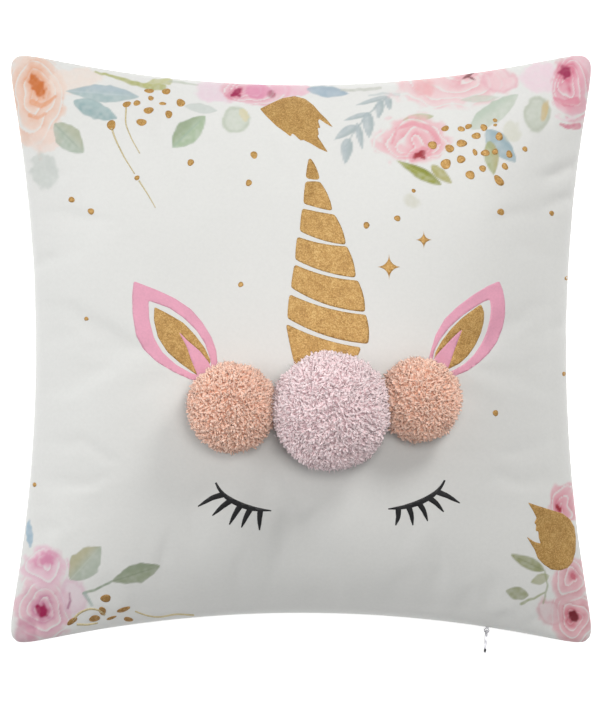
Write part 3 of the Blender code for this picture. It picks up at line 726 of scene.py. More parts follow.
leaf((-96, 151), (-72, 176), 9.5, linear(176, 196, 164), 0.85, 0.95, linear(160, 186, 172), 23,
     tint=MOSS)
leaf((-88, 184), (-63, 180), 4, MIST, 0.7, 1.0, None, 24)
dab((-49, 172.5), (10, 11), linear(214, 220, 206), 0, 0.8, 0.1, 0.1, rim=linear(186, 196, 176), seed=25)
dab((-43, 177), (3, 6), linear(230, 218, 176), 20, 0.7, seed=26)

# %% [markdown]
# The wide roses along the top are cut by the seam, as the panel was cut from a longer printed cloth.

# %% The rest of the top edge
dab((-58, 198), (22, 11), linear(242, 216, 228), 0, 0.75, seed=30)
rose((-34, 198), (28, 13), ROSE_PINK, DEEP_PINK, MAGENTA, (-49, 194.5), 31, heart_size=(4.6, 1.9))
dab((-33, 196), (10, 6), linear(232, 140, 178), 0, 0.7, seed=32)
dab((-22, 193.5), (3, 3), MAGENTA, 0, 0.7, 0.4, seed=33)
dab((-8, 197), (16, 5), linear(244, 186, 206), -3, 0.7, seed=34)
leaf((4, 197), (36, 193.5), 4.2, linear(172, 192, 206), 0.85, 0.9, None, 35, tint=SLATE)
stroke([(30, 196), (44, 196.5), (60, 198)], (0.9, 1.2), linear(204, 206, 196), 0.7, seed=36)
sprig = [(66, 192), (57, 184), (48, 174), (40, 163), (33, 151)]
stroke(sprig, (0.7, 0.5), linear(178, 190, 192), 0.8, seed=37)
SPRIG_LEAVES = (
    ((65, 192), (41, 184.5), 2.0), ((60, 189), (58, 173), 3.4), ((65, 192), (67, 180), 3.0),
    ((50, 178), (32, 172), 2.2), ((50, 179), (51, 158), 4.4), ((41, 168), (25, 157), 3.6),
    ((42, 170), (46, 149), 2.8), ((35, 158), (33, 138), 4.6),
)
for base, tip, width in SPRIG_LEAVES:
    leaf(base, tip, width, linear(184, 196, 200), 0.8, 0.7, None, int(abs(base[0] + tip[1])),
         tint=linear(168, 184, 184))
stroke([(52, 192), (62, 194), (74, 193)], (0.6, 1.2), linear(206, 214, 214), 0.7, seed=38)
rose((112, 200), (46, 18), linear(249, 216, 218), linear(242, 178, 188), linear(120, 36, 44),
     (127, 207.5), 40, heart_size=(6.2, 1.2))
dab((93, 199), (8, 7), linear(245, 178, 182), 0, 0.65, 0.3, seed=41)
dab((150, 203), (13, 10), linear(247, 208, 214), 0, 0.7, 0.2, rim=linear(236, 170, 184), seed=42)
leaf((76, 172), (100, 176), 3.6, linear(176, 186, 118), 0.8, 1.0, None, 43)
rose((84, 158), (28, 19), linear(248, 200, 206), linear(240, 146, 162), CRIMSON, (88.5, 145.5), 44,
     heart_size=(5.4, 2.4))
stroke([(68, 154), (72, 165), (84, 170), (97, 166), (102, 156)], (0.8, 3.0), linear(240, 156, 170),
       0.6, seed=46)
leaf((71, 141), (105, 122), 4.4, OLIVE, 0.9, 1.25, linear(196, 198, 140), 47, tint=linear(140, 146, 52))
leaf((97, 137), (113, 123), 4.0, linear(178, 172, 92), 0.85, 0.8, linear(206, 206, 160), 48)
dab((82, 110), (6.5, 4.6), linear(214, 212, 190), -30, 0.5, 0.3, seed=49)
leaf((127, 165), (164, 192), 8, linear(204, 214, 198), 0.75, 0.9, None, 50, tint=linear(188, 206, 188))
leaf((120, 188), (150, 190), 3.0, linear(206, 216, 200), 0.6, 1.0, None, 51)
leaf((139, 164), (161, 140), 8, linear(164, 188, 196), 0.8, 0.8, None, 52, tint=linear(148, 176, 186))
leaf((141, 156), (144, 130), 5.5, linear(172, 180, 120), 0.8, 0.8, None, 53, tint=linear(190, 176, 116))
dab((158, 163), (7, 8), linear(222, 222, 204), 0, 0.6, 0.2, seed=54)
dab((178, 177), (10, 14), linear(208, 214, 200), -14, 0.85, 0.1, 0.08, rim=linear(190, 196, 178), seed=55)
dab((184, 180), (2.6, 8), linear(218, 190, 130), -14, 0.7, 0.3, seed=61)
dab((182, 206), (15, 12), linear(248, 222, 232), 0, 0.8, 0.2, seed=56)
dab((212, 214), (12, 14), linear(244, 190, 204), 0, 0.75, 0.2, seed=62)
rose((205, 196), (15, 26), linear(244, 176, 194), linear(226, 112, 142), MAGENTA, (200.5, 210), 57,
     heart_size=(4.4, 4.8))
stroke([(192, 190), (200, 186), (209, 188)], (1.4, 3.4), linear(232, 140, 160), 0.7, seed=58)
stroke([(196, 169.5), (203, 168), (210, 169)], (1.2, 2.4), linear(224, 120, 146), 0.75, seed=59)
stroke([(193, 175), (200, 173), (207, 176)], (0.7, 1.0), linear(248, 226, 232), 0.8, seed=60)
print("top edge painted")

# %% The lower corners
rose((-196, -196), (23, 27), ROSE_PINK, linear(214, 130, 166), MAGENTA, (-196.5, -198.5), 70,
     heart_size=(4.2, 5.2))
rose((-193, -166), (18, 17), linear(246, 208, 222), linear(228, 150, 182), linear(228, 150, 182),
     (-192, -158), 71, rings=2, heart_size=(6.5, 3.0))
dab((-209, -214), (9, 10), linear(206, 132, 160), 0, 0.55, 0.3, seed=72)
dab((-172, -186), (11, 13), linear(242, 214, 226), 0, 0.6, 0.25, rim=linear(226, 176, 198), seed=73)
stroke([(-176, -196), (-174, -190), (-175, -184)], (0.9, 0.6), linear(178, 110, 142), 0.7, seed=74)
leaf((-174, -174), (-150, -148), 10.5, linear(182, 192, 176), 0.85, 0.95, linear(206, 214, 202), 75,
     tint=linear(196, 184, 138))
leaf((-143, -175), (-106, -163), 7.6, linear(160, 170, 144), 0.9, 1.15, linear(134, 146, 120), 76,
     tint=linear(150, 162, 138))
stroke([(-143, -175), (-152, -180), (-164, -184)], (0.8, 1.0), linear(156, 170, 148), 0.85, seed=77)
stroke([(-163, -184), (-160, -190), (-158, -193)], (1.6, 1.2), linear(174, 192, 184), 0.7, seed=78)
dab((-206, -140), (2.4, 10), linear(150, 184, 206), 3, 0.75, seed=79)
rose((207, -204), (19, 22), linear(240, 178, 188), linear(214, 116, 132), linear(120, 26, 40),
     (206.5, -203), 80, heart_size=(3.6, 4.0))
rose((204, -176), (15, 17), linear(243, 190, 198), linear(222, 136, 150), linear(214, 116, 132),
     (206, -172), 81, rings=2, heart_size=(2.0, 2.0))
dab((188, -200), (9, 12), linear(236, 206, 210), 30, 0.6, 0.25, rim=linear(216, 140, 152), seed=82)
rose((199, -117), (12, 15), linear(242, 172, 186), linear(226, 118, 142), linear(168, 40, 56),
     (195, -120), 83, rings=2, heart_size=(1.6, 3.4))
leaf((183, -167), (157, -154), 5, linear(160, 164, 120), 0.85, 0.75, linear(134, 140, 100), 84)
leaf((187, -171), (173, -176), 4.2, linear(176, 178, 138), 0.8, 0.9, None, 85)
leaf((172, -186), (154, -182), 5.2, linear(168, 172, 138), 0.85, 0.95, None, 86)
stroke([(166, -192), (176, -188), (184, -184)], (1.2, 0.6), linear(166, 172, 130), 0.75, seed=87)
stroke([(183, -167), (186, -178), (183, -192)], (0.5, 0.7), linear(160, 168, 128), 0.7, seed=88)
stained = (np.abs(paint - CLOTH_WHITE).sum(axis=1) > 0.02).mean()
print("lower corners painted;", round(100 * float(stained), 1), "% of the panel carries colour")

# %% [markdown]
# The printed cloth is a fine satin. Its threads are far thinner than the flowers, so they are made in
# the material: two crossed sets of waves for the weave, a slow mottle for the slightly uneven white,
# and a soft sheen. The paint comes from the colours kept on the panel's points.

# %% Cloth materials
THREAD_SCALE = 900.0
CLOTH_TONE = 0.84


def weave(tree, place, scale=THREAD_SCALE):
    """The height of a plain weave, from two sets of waves that cross."""
    bands = []
    for direction in ("X", "Y"):
        wave = node(tree, "ShaderNodeTexWave",
                    settings={"wave_type": "BANDS", "bands_direction": direction},
                    Vector=place, Scale=scale / 20, Distortion=0.6, Detail=1.0)
        bands.append(wave.outputs["Fac"])
    crossed = node(tree, "ShaderNodeMath", settings={"operation": "MULTIPLY"}, _0=bands[0], _1=bands[1])
    return crossed.outputs[0]


def mottled(tree, colour, place, scale, low, high, detail=3.0):
    """The colour made a little lighter and darker in soft patches."""
    patches = node(tree, "ShaderNodeTexNoise", Vector=place, Scale=scale, Detail=detail).outputs["Fac"]
    amount = node(tree, "ShaderNodeMapRange", Value=patches, From_Min=0.3, From_Max=0.7,
                  To_Min=low, To_Max=high).outputs[0]
    return scaled(tree, colour, amount)


def satin(name, colour, attribute=None):
    material, tree, shader = new_material(name)
    place = place_of(tree)
    if attribute:
        base = node(tree, "ShaderNodeAttribute", settings={"attribute_name": attribute}).outputs["Color"]
    else:
        base = node(tree, "ShaderNodeRGB").outputs[0]
        base.default_value = colour
    threads = weave(tree, place)
    base = mottled(tree, scaled(tree, base, CLOTH_TONE), place, 9.0, 0.975, 1.015)
    base = mottled(tree, base, place, 420.0, 0.985, 1.015)
    tree.links.new(base, shader.inputs["Base Color"])
    dull = node(tree, "ShaderNodeTexNoise", Vector=place, Scale=35.0, Detail=2.0).outputs["Fac"]
    rough = node(tree, "ShaderNodeMapRange", Value=dull, To_Min=0.50, To_Max=0.62).outputs[0]
    tree.links.new(rough, shader.inputs["Roughness"])
    slubs = node(tree, "ShaderNodeTexNoise", Vector=place, Scale=260.0, Detail=2.0).outputs["Fac"]
    first = bump(tree, slubs, 0.00025, 0.10)
    tree.links.new(bump(tree, threads, 0.00010, 0.30, first), shader.inputs["Normal"])
    shader.inputs["Sheen Weight"].default_value = 0.18
    shader.inputs["Sheen Roughness"].default_value = 0.45
    shader.inputs["Specular IOR Level"].default_value = 0.35
    return material


print_satin = satin("printed_satin", None, "print")
plain_satin = satin("plain_satin", rgba(238, 238, 235))
print_colour = front_panel.data.color_attributes.new("print", "FLOAT_COLOR", "POINT")
all_paint = np.tile(np.append(CLOTH_WHITE, 1.0), (len(front_panel.data.vertices), 1))
all_paint[: len(paint), :3] = paint
lip_count = 3 * len(rim_loop(FINE))
all_paint[len(paint) : len(paint) + lip_count, :3] = np.tile(paint[rim_loop(FINE)], (3, 1))
print_colour.data.foreach_set("color", all_paint.astype(np.float32).ravel())
for panel, material, name in ((front_panel, print_satin, "front"), (back_panel, plain_satin, "back")):
    panel.data.materials.append(material)
    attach(panel, "cushion")
    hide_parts(f"cover_{name}_panel")
print("cloth materials made")

# %% [markdown]
# ## The foil and ink
# The horn, ears, lashes, stars and dots have crisp edges, as foil pressed or ink screened onto the
# cloth has. Each is a film a tenth of a millimetre thick: an outline drawn flat, cut into triangles,
# and dropped straight down onto the creased panel, so it follows every crease.

# %% Film tools
FILM = 0.00012
FILM_UNDERSIDE = 0.00001
FILM_CELL = 2.2
FILM_ROW = 0.87 * FILM_CELL
cloth_tree = BVHTree.FromPolygons(front_fine.reshape(-1, 3).tolist(), quads_of(FINE).tolist())
SKY = 0.30


def cloth_under(x, y):
    """(point, normal) of the front cloth straight below, from millimetres to metres."""
    hit, normal, _, _ = cloth_tree.ray_cast(Vector((x * MM, y * MM, SKY)), Vector((0, 0, -1)))
    return hit, normal


def arc(start, end, bow=0.0, count=10):
    """Points from start up to, not including, end, bowed to the left of the way by bow millimetres."""
    start, end = np.asarray(start, float), np.asarray(end, float)
    t = np.linspace(0, 1, count, endpoint=False)[:, None]
    way = end - start
    side = np.array((-way[1], way[0])) / max(np.linalg.norm(way), 1e-9)
    return start + way * t + side * bow * 4 * t * (1 - t)


def eased(outline, spacing=0.9, rounds=1):
    """A closed outline with even spacing and its corners eased, each round about one spacing more."""
    closed = np.vstack((outline, outline[:1]))
    run = np.concatenate(([0], np.cumsum(np.linalg.norm(np.diff(closed, axis=0), axis=1))))
    places = np.linspace(0, run[-1], max(8, int(run[-1] / spacing)), endpoint=False)
    even = np.stack([np.interp(places, run, closed[:, k]) for k in (0, 1)], axis=-1)
    for _ in range(rounds):
        even = (np.roll(even, 1, 0) + 2 * even + np.roll(even, -1, 0)) / 4
    return even


def widened(outline, amount):
    """A clockwise outline moved outwards by amount millimetres."""
    way = np.roll(outline, -1, 0) - np.roll(outline, 1, 0)
    long = np.maximum(np.linalg.norm(way, axis=1, keepdims=True), 1e-9)
    side = np.stack((-way[:, 1], way[:, 0]), axis=-1) / long
    return outline + side * amount


def inside(outline, x, y):
    """Whether each point lies inside the closed outline."""
    found = np.zeros(len(x), bool)
    for (ax, ay), (bx, by) in zip(outline, np.roll(outline, -1, 0)):
        crosses = (ay > y) != (by > y)
        at = ax + (y - ay) * (bx - ax) / np.where(by == ay, 1e-12, by - ay)
        found ^= crosses & (x < at)
    return found


def film(name, outlines, material, keep=any, lift=FILM):
    """A thin film on the cloth, wherever keep says so of the list of outlines that a place is in."""
    corners = np.vstack(outlines)
    edges, start = [], 0
    for outline in outlines:
        count = len(outline)
        edges += [(start + i, start + (i + 1) % count) for i in range(count)]
        start += count
    low, high = corners.min(axis=0), corners.max(axis=0)
    columns = np.arange(low[0], high[0], FILM_CELL)
    rows = np.arange(low[1], high[1], FILM_ROW)
    gx, gy = np.meshgrid(columns, rows, indexing="ij")
    gx = gx + FILM_CELL / 2 * (np.arange(len(rows)) % 2)
    gx, gy = gx.ravel(), gy.ravel()
    member = np.array([inside(outline, gx, gy) for outline in outlines])
    chosen = np.array([keep(column) for column in member.T], bool)
    spots = np.stack((gx[chosen], gy[chosen]), axis=-1)
    flat = [Vector(p) for p in np.vstack((corners, spots))]
    verts, _, tris, *_ = delaunay_2d_cdt(flat, edges, [], 0, 1e-5)
    verts = np.array([tuple(v) for v in verts])
    tris = np.array([t if np.cross(verts[t[1]] - verts[t[0]], verts[t[2]] - verts[t[0]]) > 0 else t[::-1]
                     for t in tris])
    middle = verts[tris].mean(axis=1)
    member = np.array([inside(outline, middle[:, 0], middle[:, 1]) for outline in outlines])
    area = np.abs(np.cross(verts[tris[:, 1]] - verts[tris[:, 0]], verts[tris[:, 2]] - verts[tris[:, 0]]))
    tris = tris[np.array([keep(column) for column in member.T], bool) & (area > 1e-6)]
    used, tris = np.unique(tris, return_inverse=True)
    tris = tris.reshape(-1, 3)
    top, under = [], []
    for x, y in verts[used]:
        hit, normal = cloth_under(x, y)
        if hit is None:
            raise ValueError(f"{name}: the cloth doesn't reach {x:.1f}, {y:.1f}")
        top.append(hit + normal * lift)
        under.append(hit + normal * FILM_UNDERSIDE)
    pairs = np.sort(np.concatenate((tris[:, [0, 1]], tris[:, [1, 2]], tris[:, [2, 0]])), axis=1)
    single, uses = np.unique(pairs, axis=0, return_counts=True)
    rim = {tuple(p) for p in single[uses == 1]}
    count = len(used)
    faces = tris.tolist() + (tris[:, ::-1] + count).tolist()
    for tri in tris:
        for a, b in ((tri[0], tri[1]), (tri[1], tri[2]), (tri[2], tri[0])):
            if (min(a, b), max(a, b)) in rim:
                faces.append((a, a + count, b + count, b))
    mesh = bpy.data.meshes.new(name)
    mesh.from_pydata([tuple(p) for p in top + under], [], [[int(i) for i in f] for f in faces])
    mesh.polygons.foreach_set("use_smooth", [len(p.vertices) == 3 for p in mesh.polygons])
    mesh.materials.append(material)
    made = bpy.data.objects.new(name, mesh)
    scene.collection.objects.link(made)
    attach(made, "cushion")
    print(name, len(mesh.polygons), "faces")
    return made


# %% [markdown]
# Gold foil is a warm metal film full of tiny flakes that face every way, so it glitters in points
# rather than shining as one sheet. Random cells about two thirds of a millimetre across each take
# their own tone and roughness, with a tiny step from each to the next.

# %% Foil and ink materials


def foil(name, dark, middle, light, flakes=1500.0, metal=0.30):
    material, tree, shader = new_material(name)
    place = place_of(tree)
    cells = node(tree, "ShaderNodeTexVoronoi", Vector=place, Scale=flakes)
    split = node(tree, "ShaderNodeSeparateColor", Color=cells.outputs["Color"])
    slow = node(tree, "ShaderNodeTexNoise", Vector=place, Scale=190.0, Detail=4.0).outputs["Fac"]
    blend_in = node(tree, "ShaderNodeMath", settings={"operation": "MULTIPLY_ADD"},
                    _0=slow, _1=0.5, _2=-0.25).outputs[0]
    tone = node(tree, "ShaderNodeMath", settings={"operation": "MULTIPLY_ADD"},
                _0=split.outputs[0], _1=0.40, _2=0.30).outputs[0]
    tone = node(tree, "ShaderNodeMath", settings={"operation": "ADD"}, _0=tone, _1=blend_in).outputs[0]
    colour = ramp(tree, tone, [(0.10, dark), (0.5, middle), (0.92, light)])
    tree.links.new(colour, shader.inputs["Base Color"])
    shader.inputs["Metallic"].default_value = metal
    rough = node(tree, "ShaderNodeMapRange", Value=split.outputs[1], To_Min=0.46, To_Max=0.70).outputs[0]
    tree.links.new(rough, shader.inputs["Roughness"])
    tree.links.new(bump(tree, split.outputs[2], 0.00012, 0.35), shader.inputs["Normal"])
    return material


def ink(name, colour, low=0.94, high=1.05, roughness=0.55):
    material, tree, shader = new_material(name)
    place = place_of(tree)
    base = node(tree, "ShaderNodeRGB").outputs[0]
    base.default_value = colour
    base = mottled(tree, base, place, 60.0, low, high)
    base = mottled(tree, base, place, 700.0, 0.96, 1.04)
    tree.links.new(base, shader.inputs["Base Color"])
    worn = node(tree, "ShaderNodeTexNoise", Vector=place, Scale=120.0).outputs["Fac"]
    rough = node(tree, "ShaderNodeMapRange", Value=worn, To_Min=roughness - 0.08,
                 To_Max=roughness + 0.08).outputs[0]
    tree.links.new(rough, shader.inputs["Roughness"])
    tree.links.new(bump(tree, weave(tree, place), 0.00010, 0.35), shader.inputs["Normal"])
    return material


gold_foil = foil("gold_foil", rgba(140, 100, 48), rgba(190, 148, 84), rgba(226, 192, 128))
gold_dot = foil("gold_dot_foil", rgba(148, 108, 50), rgba(190, 146, 80), rgba(220, 184, 120))
pink_ink = ink("pink_ink", rgba(226, 160, 182))
lash_ink = ink("lash_ink", rgba(26, 26, 28), 0.7, 1.4, 0.5)
print("foil and ink made")

# %% [markdown]
# The horn is a tall narrow leaning cone cut by a spiral groove. Each turn of foil is a band with a
# straight left end, a swollen right end and upper and lower edges that sag towards the right.

# %% Horn
BAND_SPREAD = 0.75
HORN_BANDS = (
    # upper left, upper right, lower right, lower left, sag of the upper edge, sag of the lower edge
    ((6.4, 142.0), (6.6, 142.0), (13.1, 127.0), (4.3, 128.1), 0.0, 0.4),
    ((3.9, 124.0), (13.8, 123.8), (22.5, 103.6), (2.6, 108.7), -0.3, 0.4),
    ((1.5, 103.7), (24.3, 99.3), (32.5, 78.2), (-0.2, 88.0), 0.3, 1.6),
    ((-2.3, 82.4), (33.5, 75.5), (39.8, 53.7), (-3.6, 66.8), 1.4, 2.2),
    ((-4.3, 61.7), (41.7, 50.0), (46.8, 28.2), (-6.7, 45.9), 2.2, 3.6),
    ((-8.0, 39.5), (47.5, 24.7), (49.2, 4.5), (-9.4, 23.2), 2.6, 3.6),
    ((-10.4, 17.5), (43.6, 0.5), (36.0, -12.0), (-4.0, -12.0), 2.4, 0.0),
)


def horn_band(upper_left, upper_right, lower_right, lower_left, upper_sag, lower_sag):
    """One turn of foil, walked clockwise from its upper left corner."""
    swell = 0.06 * math.dist(upper_right, lower_right)
    outline = np.vstack((
        arc(upper_left, upper_right, -upper_sag),
        arc(upper_right, lower_right, swell),
        arc(lower_right, lower_left, lower_sag),
        arc(lower_left, upper_left, 0.3),
    ))
    return widened(eased(outline, 0.8, 2), BAND_SPREAD)


film("horn_foil", [horn_band(*band) for band in HORN_BANDS], gold_foil)

# %% [markdown]
# Each ear is three leaves of one drawing, one inside the other: a pink leaf, a narrower leaf of bare
# cloth, and a gold leaf split by a pink streak. The right ear is drawn a little narrower and longer
# than the left one, as a hand would draw it.

# %% Ears
LEFT_OUTER = [(-124.8, 50.6), (-107.5, 43.9), (-94.4, 37.9), (-81.9, 29.6), (-73.6, 20.1), (-66.5, 8.8),
             (-62.9, -1.3), (-62.0, -11.4), (-70.0, -24.0), (-80.2, -23.6), (-94.4, -17.4),
             (-107.5, -9.6), (-117.6, -0.1), (-123.0, 10.0), (-125.6, 25.5), (-126.0, 40.3)]
LEFT_GAP = [(-113.7, 36.0), (-98.0, 30.4), (-87.3, 23.1), (-77.8, 13.9), (-71.6, 4.4), (-68.2, -5.0),
           (-66.4, -12.0), (-75.0, -20.0), (-81.4, -18.2), (-92.6, -12.0), (-103.3, -2.4),
           (-109.5, 8.2), (-113.1, 21.9)]
LEFT_GOLD = [(-109.3, 31.4), (-98.0, 25.6), (-87.3, 19.3), (-79.0, 10.6), (-71.6, 0.9), (-66.9, -9.4),
            (-74.0, -22.0), (-80.0, -17.6), (-89.7, -10.8), (-99.4, -2.4), (-106.6, 8.8), (-109.7, 21.9)]
LEFT_STREAK = [(-91.0, 12.8), (-84.0, 5.8), (-75.4, -1.3), (-68.2, -10.4), (-66.0, -18.0), (-76.0, -23.0),
              (-78.2, -16.2), (-80.9, -10.2), (-85.0, 1.7)]
RIGHT_OUTER = [(148.3, 50.8), (151.0, 44.2), (152.7, 35.0), (152.7, 25.2), (151.0, 16.0), (146.5, 5.0),
               (140.7, -2.9), (132.7, -10.4), (124.2, -16.4), (115.7, -19.7), (108.4, -23.7),
               (93.7, -12.7), (96.2, -2.3), (100.1, 10.5), (106.8, 22.2), (116.3, 31.3), (129.1, 40.8),
               (138.8, 46.6)]
RIGHT_GAP = [(141.2, 37.0), (141.9, 30.1), (141.3, 22.8), (138.8, 13.0), (134.9, 4.1), (129.1, -4.4),
             (121.8, -11.2), (114.5, -15.5), (105.3, -18.8), (97.4, -9.6), (99.2, -1.1), (103.2, 6.6),
             (110.2, 15.7), (119.9, 24.6), (129.1, 30.7), (135.8, 35.0)]
RIGHT_GOLD = [(134.4, 33.5), (136.7, 27.7), (136.5, 20.3), (134.3, 11.8), (130.0, 2.6), (124.5, -5.1),
              (118.1, -10.9), (111.4, -14.2), (105.3, -17.0), (98.6, -9.0), (100.1, -2.0), (104.4, 5.6),
              (111.1, 14.2), (119.3, 22.5), (127.3, 28.6)]
RIGHT_STREAK = [(120.2, 14.8), (117.2, 6.6), (114.1, -1.1), (111.7, -8.4), (109.6, -14.5), (102.3, -18.8),
                (96.2, -11.5), (101.6, -3.5), (107.7, 2.9), (114.5, 9.9)]
EARS = {"left": (LEFT_OUTER, LEFT_GAP, LEFT_GOLD, LEFT_STREAK),
        "right": (RIGHT_OUTER, RIGHT_GAP, RIGHT_GOLD, RIGHT_STREAK)}

for side, drawing in EARS.items():
    outer, gap, gold, streak = (eased(np.array(points), 1.2, 2) for points in drawing)
    film(f"{side}_ear_pink", [outer, gap, streak], pink_ink,
         keep=lambda where: (where[0] and not where[1]) or where[2])
    film(f"{side}_ear_gold", [gold, streak], gold_foil, keep=lambda where: where[0] and not where[1])

# %% [markdown]
# The closed eyes are brush lines: a lid that dips between its ends and is boldest in the middle, and
# five lashes that leave it broad and taper to points.

# %% Lashes
BRUSH_STEPS = 22
BRUSH_EASING = 4


def brushed(points, widths):
    """The outline of a brush line through the points; its half widths are spread along it."""
    points = np.asarray(points, float)
    run = np.concatenate(([0], np.cumsum(np.linalg.norm(np.diff(points, axis=0), axis=1))))
    places = np.linspace(0, run[-1], BRUSH_STEPS)
    line = np.stack([np.interp(places, run, points[:, k]) for k in (0, 1)], axis=-1)
    for _ in range(BRUSH_EASING):
        line[1:-1] = (line[:-2] + 2 * line[1:-1] + line[2:]) / 4
    way = np.gradient(line, axis=0)
    side = np.stack((-way[:, 1], way[:, 0]), axis=-1) / np.linalg.norm(way, axis=1, keepdims=True)
    half = np.interp(np.linspace(0, 1, len(line)), np.linspace(0, 1, len(widths)), widths)[:, None]
    return np.vstack((line + side * half, (line - side * half)[::-1]))


LEFT_LID = [(-63.6, -99.6), (-61.4, -104.6), (-57.2, -109.4), (-51.0, -113.6), (-43.0, -117.2),
            (-33.0, -119.8), (-22.2, -120.6)]
LEFT_LASHES = [
    [(-58.6, -108.6), (-66.0, -110.8), (-77.0, -117.6)],
    [(-52.8, -113.2), (-58.6, -117.4), (-66.2, -124.4)],
    [(-45.4, -117.0), (-49.2, -123.0), (-53.6, -131.2)],
    [(-38.0, -119.4), (-41.2, -125.4), (-44.6, -133.4)],
    [(-30.4, -120.4), (-31.0, -127.0), (-31.0, -135.4)],
]
RIGHT_LID = [(107.2, -98.0), (105.0, -103.0), (100.6, -107.6), (94.0, -112.0), (86.0, -115.6),
             (76.0, -118.4), (65.0, -119.4)]
RIGHT_LASHES = [
    [(102.0, -106.8), (109.0, -109.6), (118.6, -115.2)],
    [(95.6, -111.2), (101.0, -115.2), (106.6, -121.8)],
    [(88.0, -115.0), (91.6, -120.6), (94.6, -128.6)],
    [(80.2, -117.6), (82.4, -123.6), (83.6, -131.8)],
    [(72.6, -119.2), (72.6, -125.4), (70.6, -131.8)],
]
LID_WIDTHS = (0.7, 1.3, 1.9, 2.1, 1.9, 1.3, 0.4)
LASH_WIDTHS = (2.2, 1.9, 1.4, 0.4)
for side, lid, lashes in (("left", LEFT_LID, LEFT_LASHES), ("right", RIGHT_LID, RIGHT_LASHES)):
    lines = [brushed(lid, LID_WIDTHS)] + [brushed(lash, LASH_WIDTHS) for lash in lashes]
    film(f"{side}_lashes", lines, lash_ink)

# %% [markdown]
# Gold berries and specks are drops, none quite round. Their uneven outlines come from a seeded
# generator.

# %% Gold drops, stars and leaves
BERRIES = (
    # across, up, half width, half height, turn
    (-142.7, 168.4, 3.5, 3.6, 0), (-131.4, 184.4, 3.2, 2.2, 30), (-123.8, 185.4, 2.6, 2.2, 0),
    (-120.0, 170.4, 3.7, 2.8, 0), (-114.8, 179.6, 3.7, 2.6, 0), (-113.4, 189.2, 2.2, 1.8, 0),
    (-114.8, 195.0, 3.6, 1.7, 0), (-101.9, 194.6, 3.4, 2.2, 0), (-104.4, 185.0, 2.6, 1.3, 0),
    (-99.6, 176.6, 2.8, 2.9, 0), (-90.8, 185.6, 3.3, 3.0, 0), (-122.8, 128.0, 2.2, 1.7, 20),
    (98.5, 152.7, 3.6, 2.9, 0), (108.3, 165.6, 2.8, 2.2, 20), (108.3, 138.4, 4.2, 3.6, 20),
    (111.3, 150.2, 3.7, 2.8, -15), (120.3, 165.2, 2.8, 2.0, 0), (120.4, 154.2, 3.8, 3.0, 0),
    (119.8, 142.0, 3.5, 2.8, 0), (131.6, 160.0, 3.3, 2.6, 0), (126.6, 130.2, 3.4, 3.4, 0),
    (125.8, 167.2, 2.6, 2.0, 20), (137.4, 166.4, 2.6, 2.6, 40), (146.0, 172.0, 1.7, 1.5, 0),
    (146.0, 168.4, 1.5, 1.1, 0), (148.9, 159.6, 2.7, 3.2, 30), (136.1, 135.2, 2.5, 2.6, 0),
    (148.4, 126.2, 4.6, 2.9, -45), (153.0, 137.0, 2.9, 2.2, -40), (156.4, 146.2, 2.4, 2.8, 20),
    (168.4, 150.4, 2.3, 1.8, -35), (138.2, 147.0, 3.2, 2.6, 0), (145.6, 148.0, 2.2, 2.4, 0),
    (130.4, 147.4, 1.8, 2.6, 15),
)
SPECKS = (
    (48.6, 92.0, 2.4), (71.7, 97.2, 2.3), (149.6, 102.6, 2.6), (189.2, 102.4, 1.9), (201.2, 53.6, 1.6),
    (199.2, -18.9, 1.6), (145.4, -48.0, 2.2), (-172.6, 112.2, 2.3), (-157.6, 103.2, 2.4),
    (-161.0, 22.6, 1.6), (-44.8, 47.8, 2.0), (-35.2, 145.0, 2.7), (-39.0, 123.8, 2.4),
    (-82.6, 139.4, 2.5), (-201.8, -102.8, 1.6), (84.0, 118.0, 1.5),
)
BOTTOM_DROPS = (
    (-147.4, -188.2, 4.2, 2.8, 0), (-156.3, -204.0, 4.0, 2.6, 10), (-173.4, -206.2, 4.4, 2.0, 35),
    (-134.2, -197.0, 5.4, 1.7, 22), (-130.8, -204.8, 3.8, 1.7, -12), (-150.2, -198.0, 2.6, 3.4, 0),
    (-143.6, -203.6, 4.0, 1.1, 18),
)
rng = np.random.default_rng(5)


def drop(x, y, wide, high, turn=0.0):
    """An uneven oval outline."""
    angle = np.linspace(0, 2 * math.pi, 18, endpoint=False)
    uneven = 1 + 0.07 * np.sin(2 * angle + rng.uniform(0, 6)) + 0.05 * np.sin(3 * angle + rng.uniform(0, 6))
    px, py = wide * uneven * np.cos(angle), high * uneven * np.sin(angle)
    c, s = math.cos(math.radians(turn)), math.sin(math.radians(turn))
    return np.stack((x + px * c - py * s, y + px * s + py * c), axis=-1)


def star(x, y, reach, waist=0.33):
    """A four-pointed star with hollow sides."""
    tips = [(x, y + reach), (x - reach * 0.86, y), (x, y - reach), (x + reach * 0.86, y)]
    points = []
    for a, b in zip(tips, tips[1:] + tips[:1]):
        points.append(arc(a, b, (0.5 - waist) * 1.25 * math.dist(a, b), 8))
    return np.vstack(points)


film("gold_berries", [drop(*berry) for berry in BERRIES], gold_dot)
film("gold_specks", [drop(x, y, r, r) for x, y, r in SPECKS], gold_dot)
film("gold_stars", [star(65.4, 60.9, 9.8), star(91.4, 81.2, 6.8)], gold_dot)
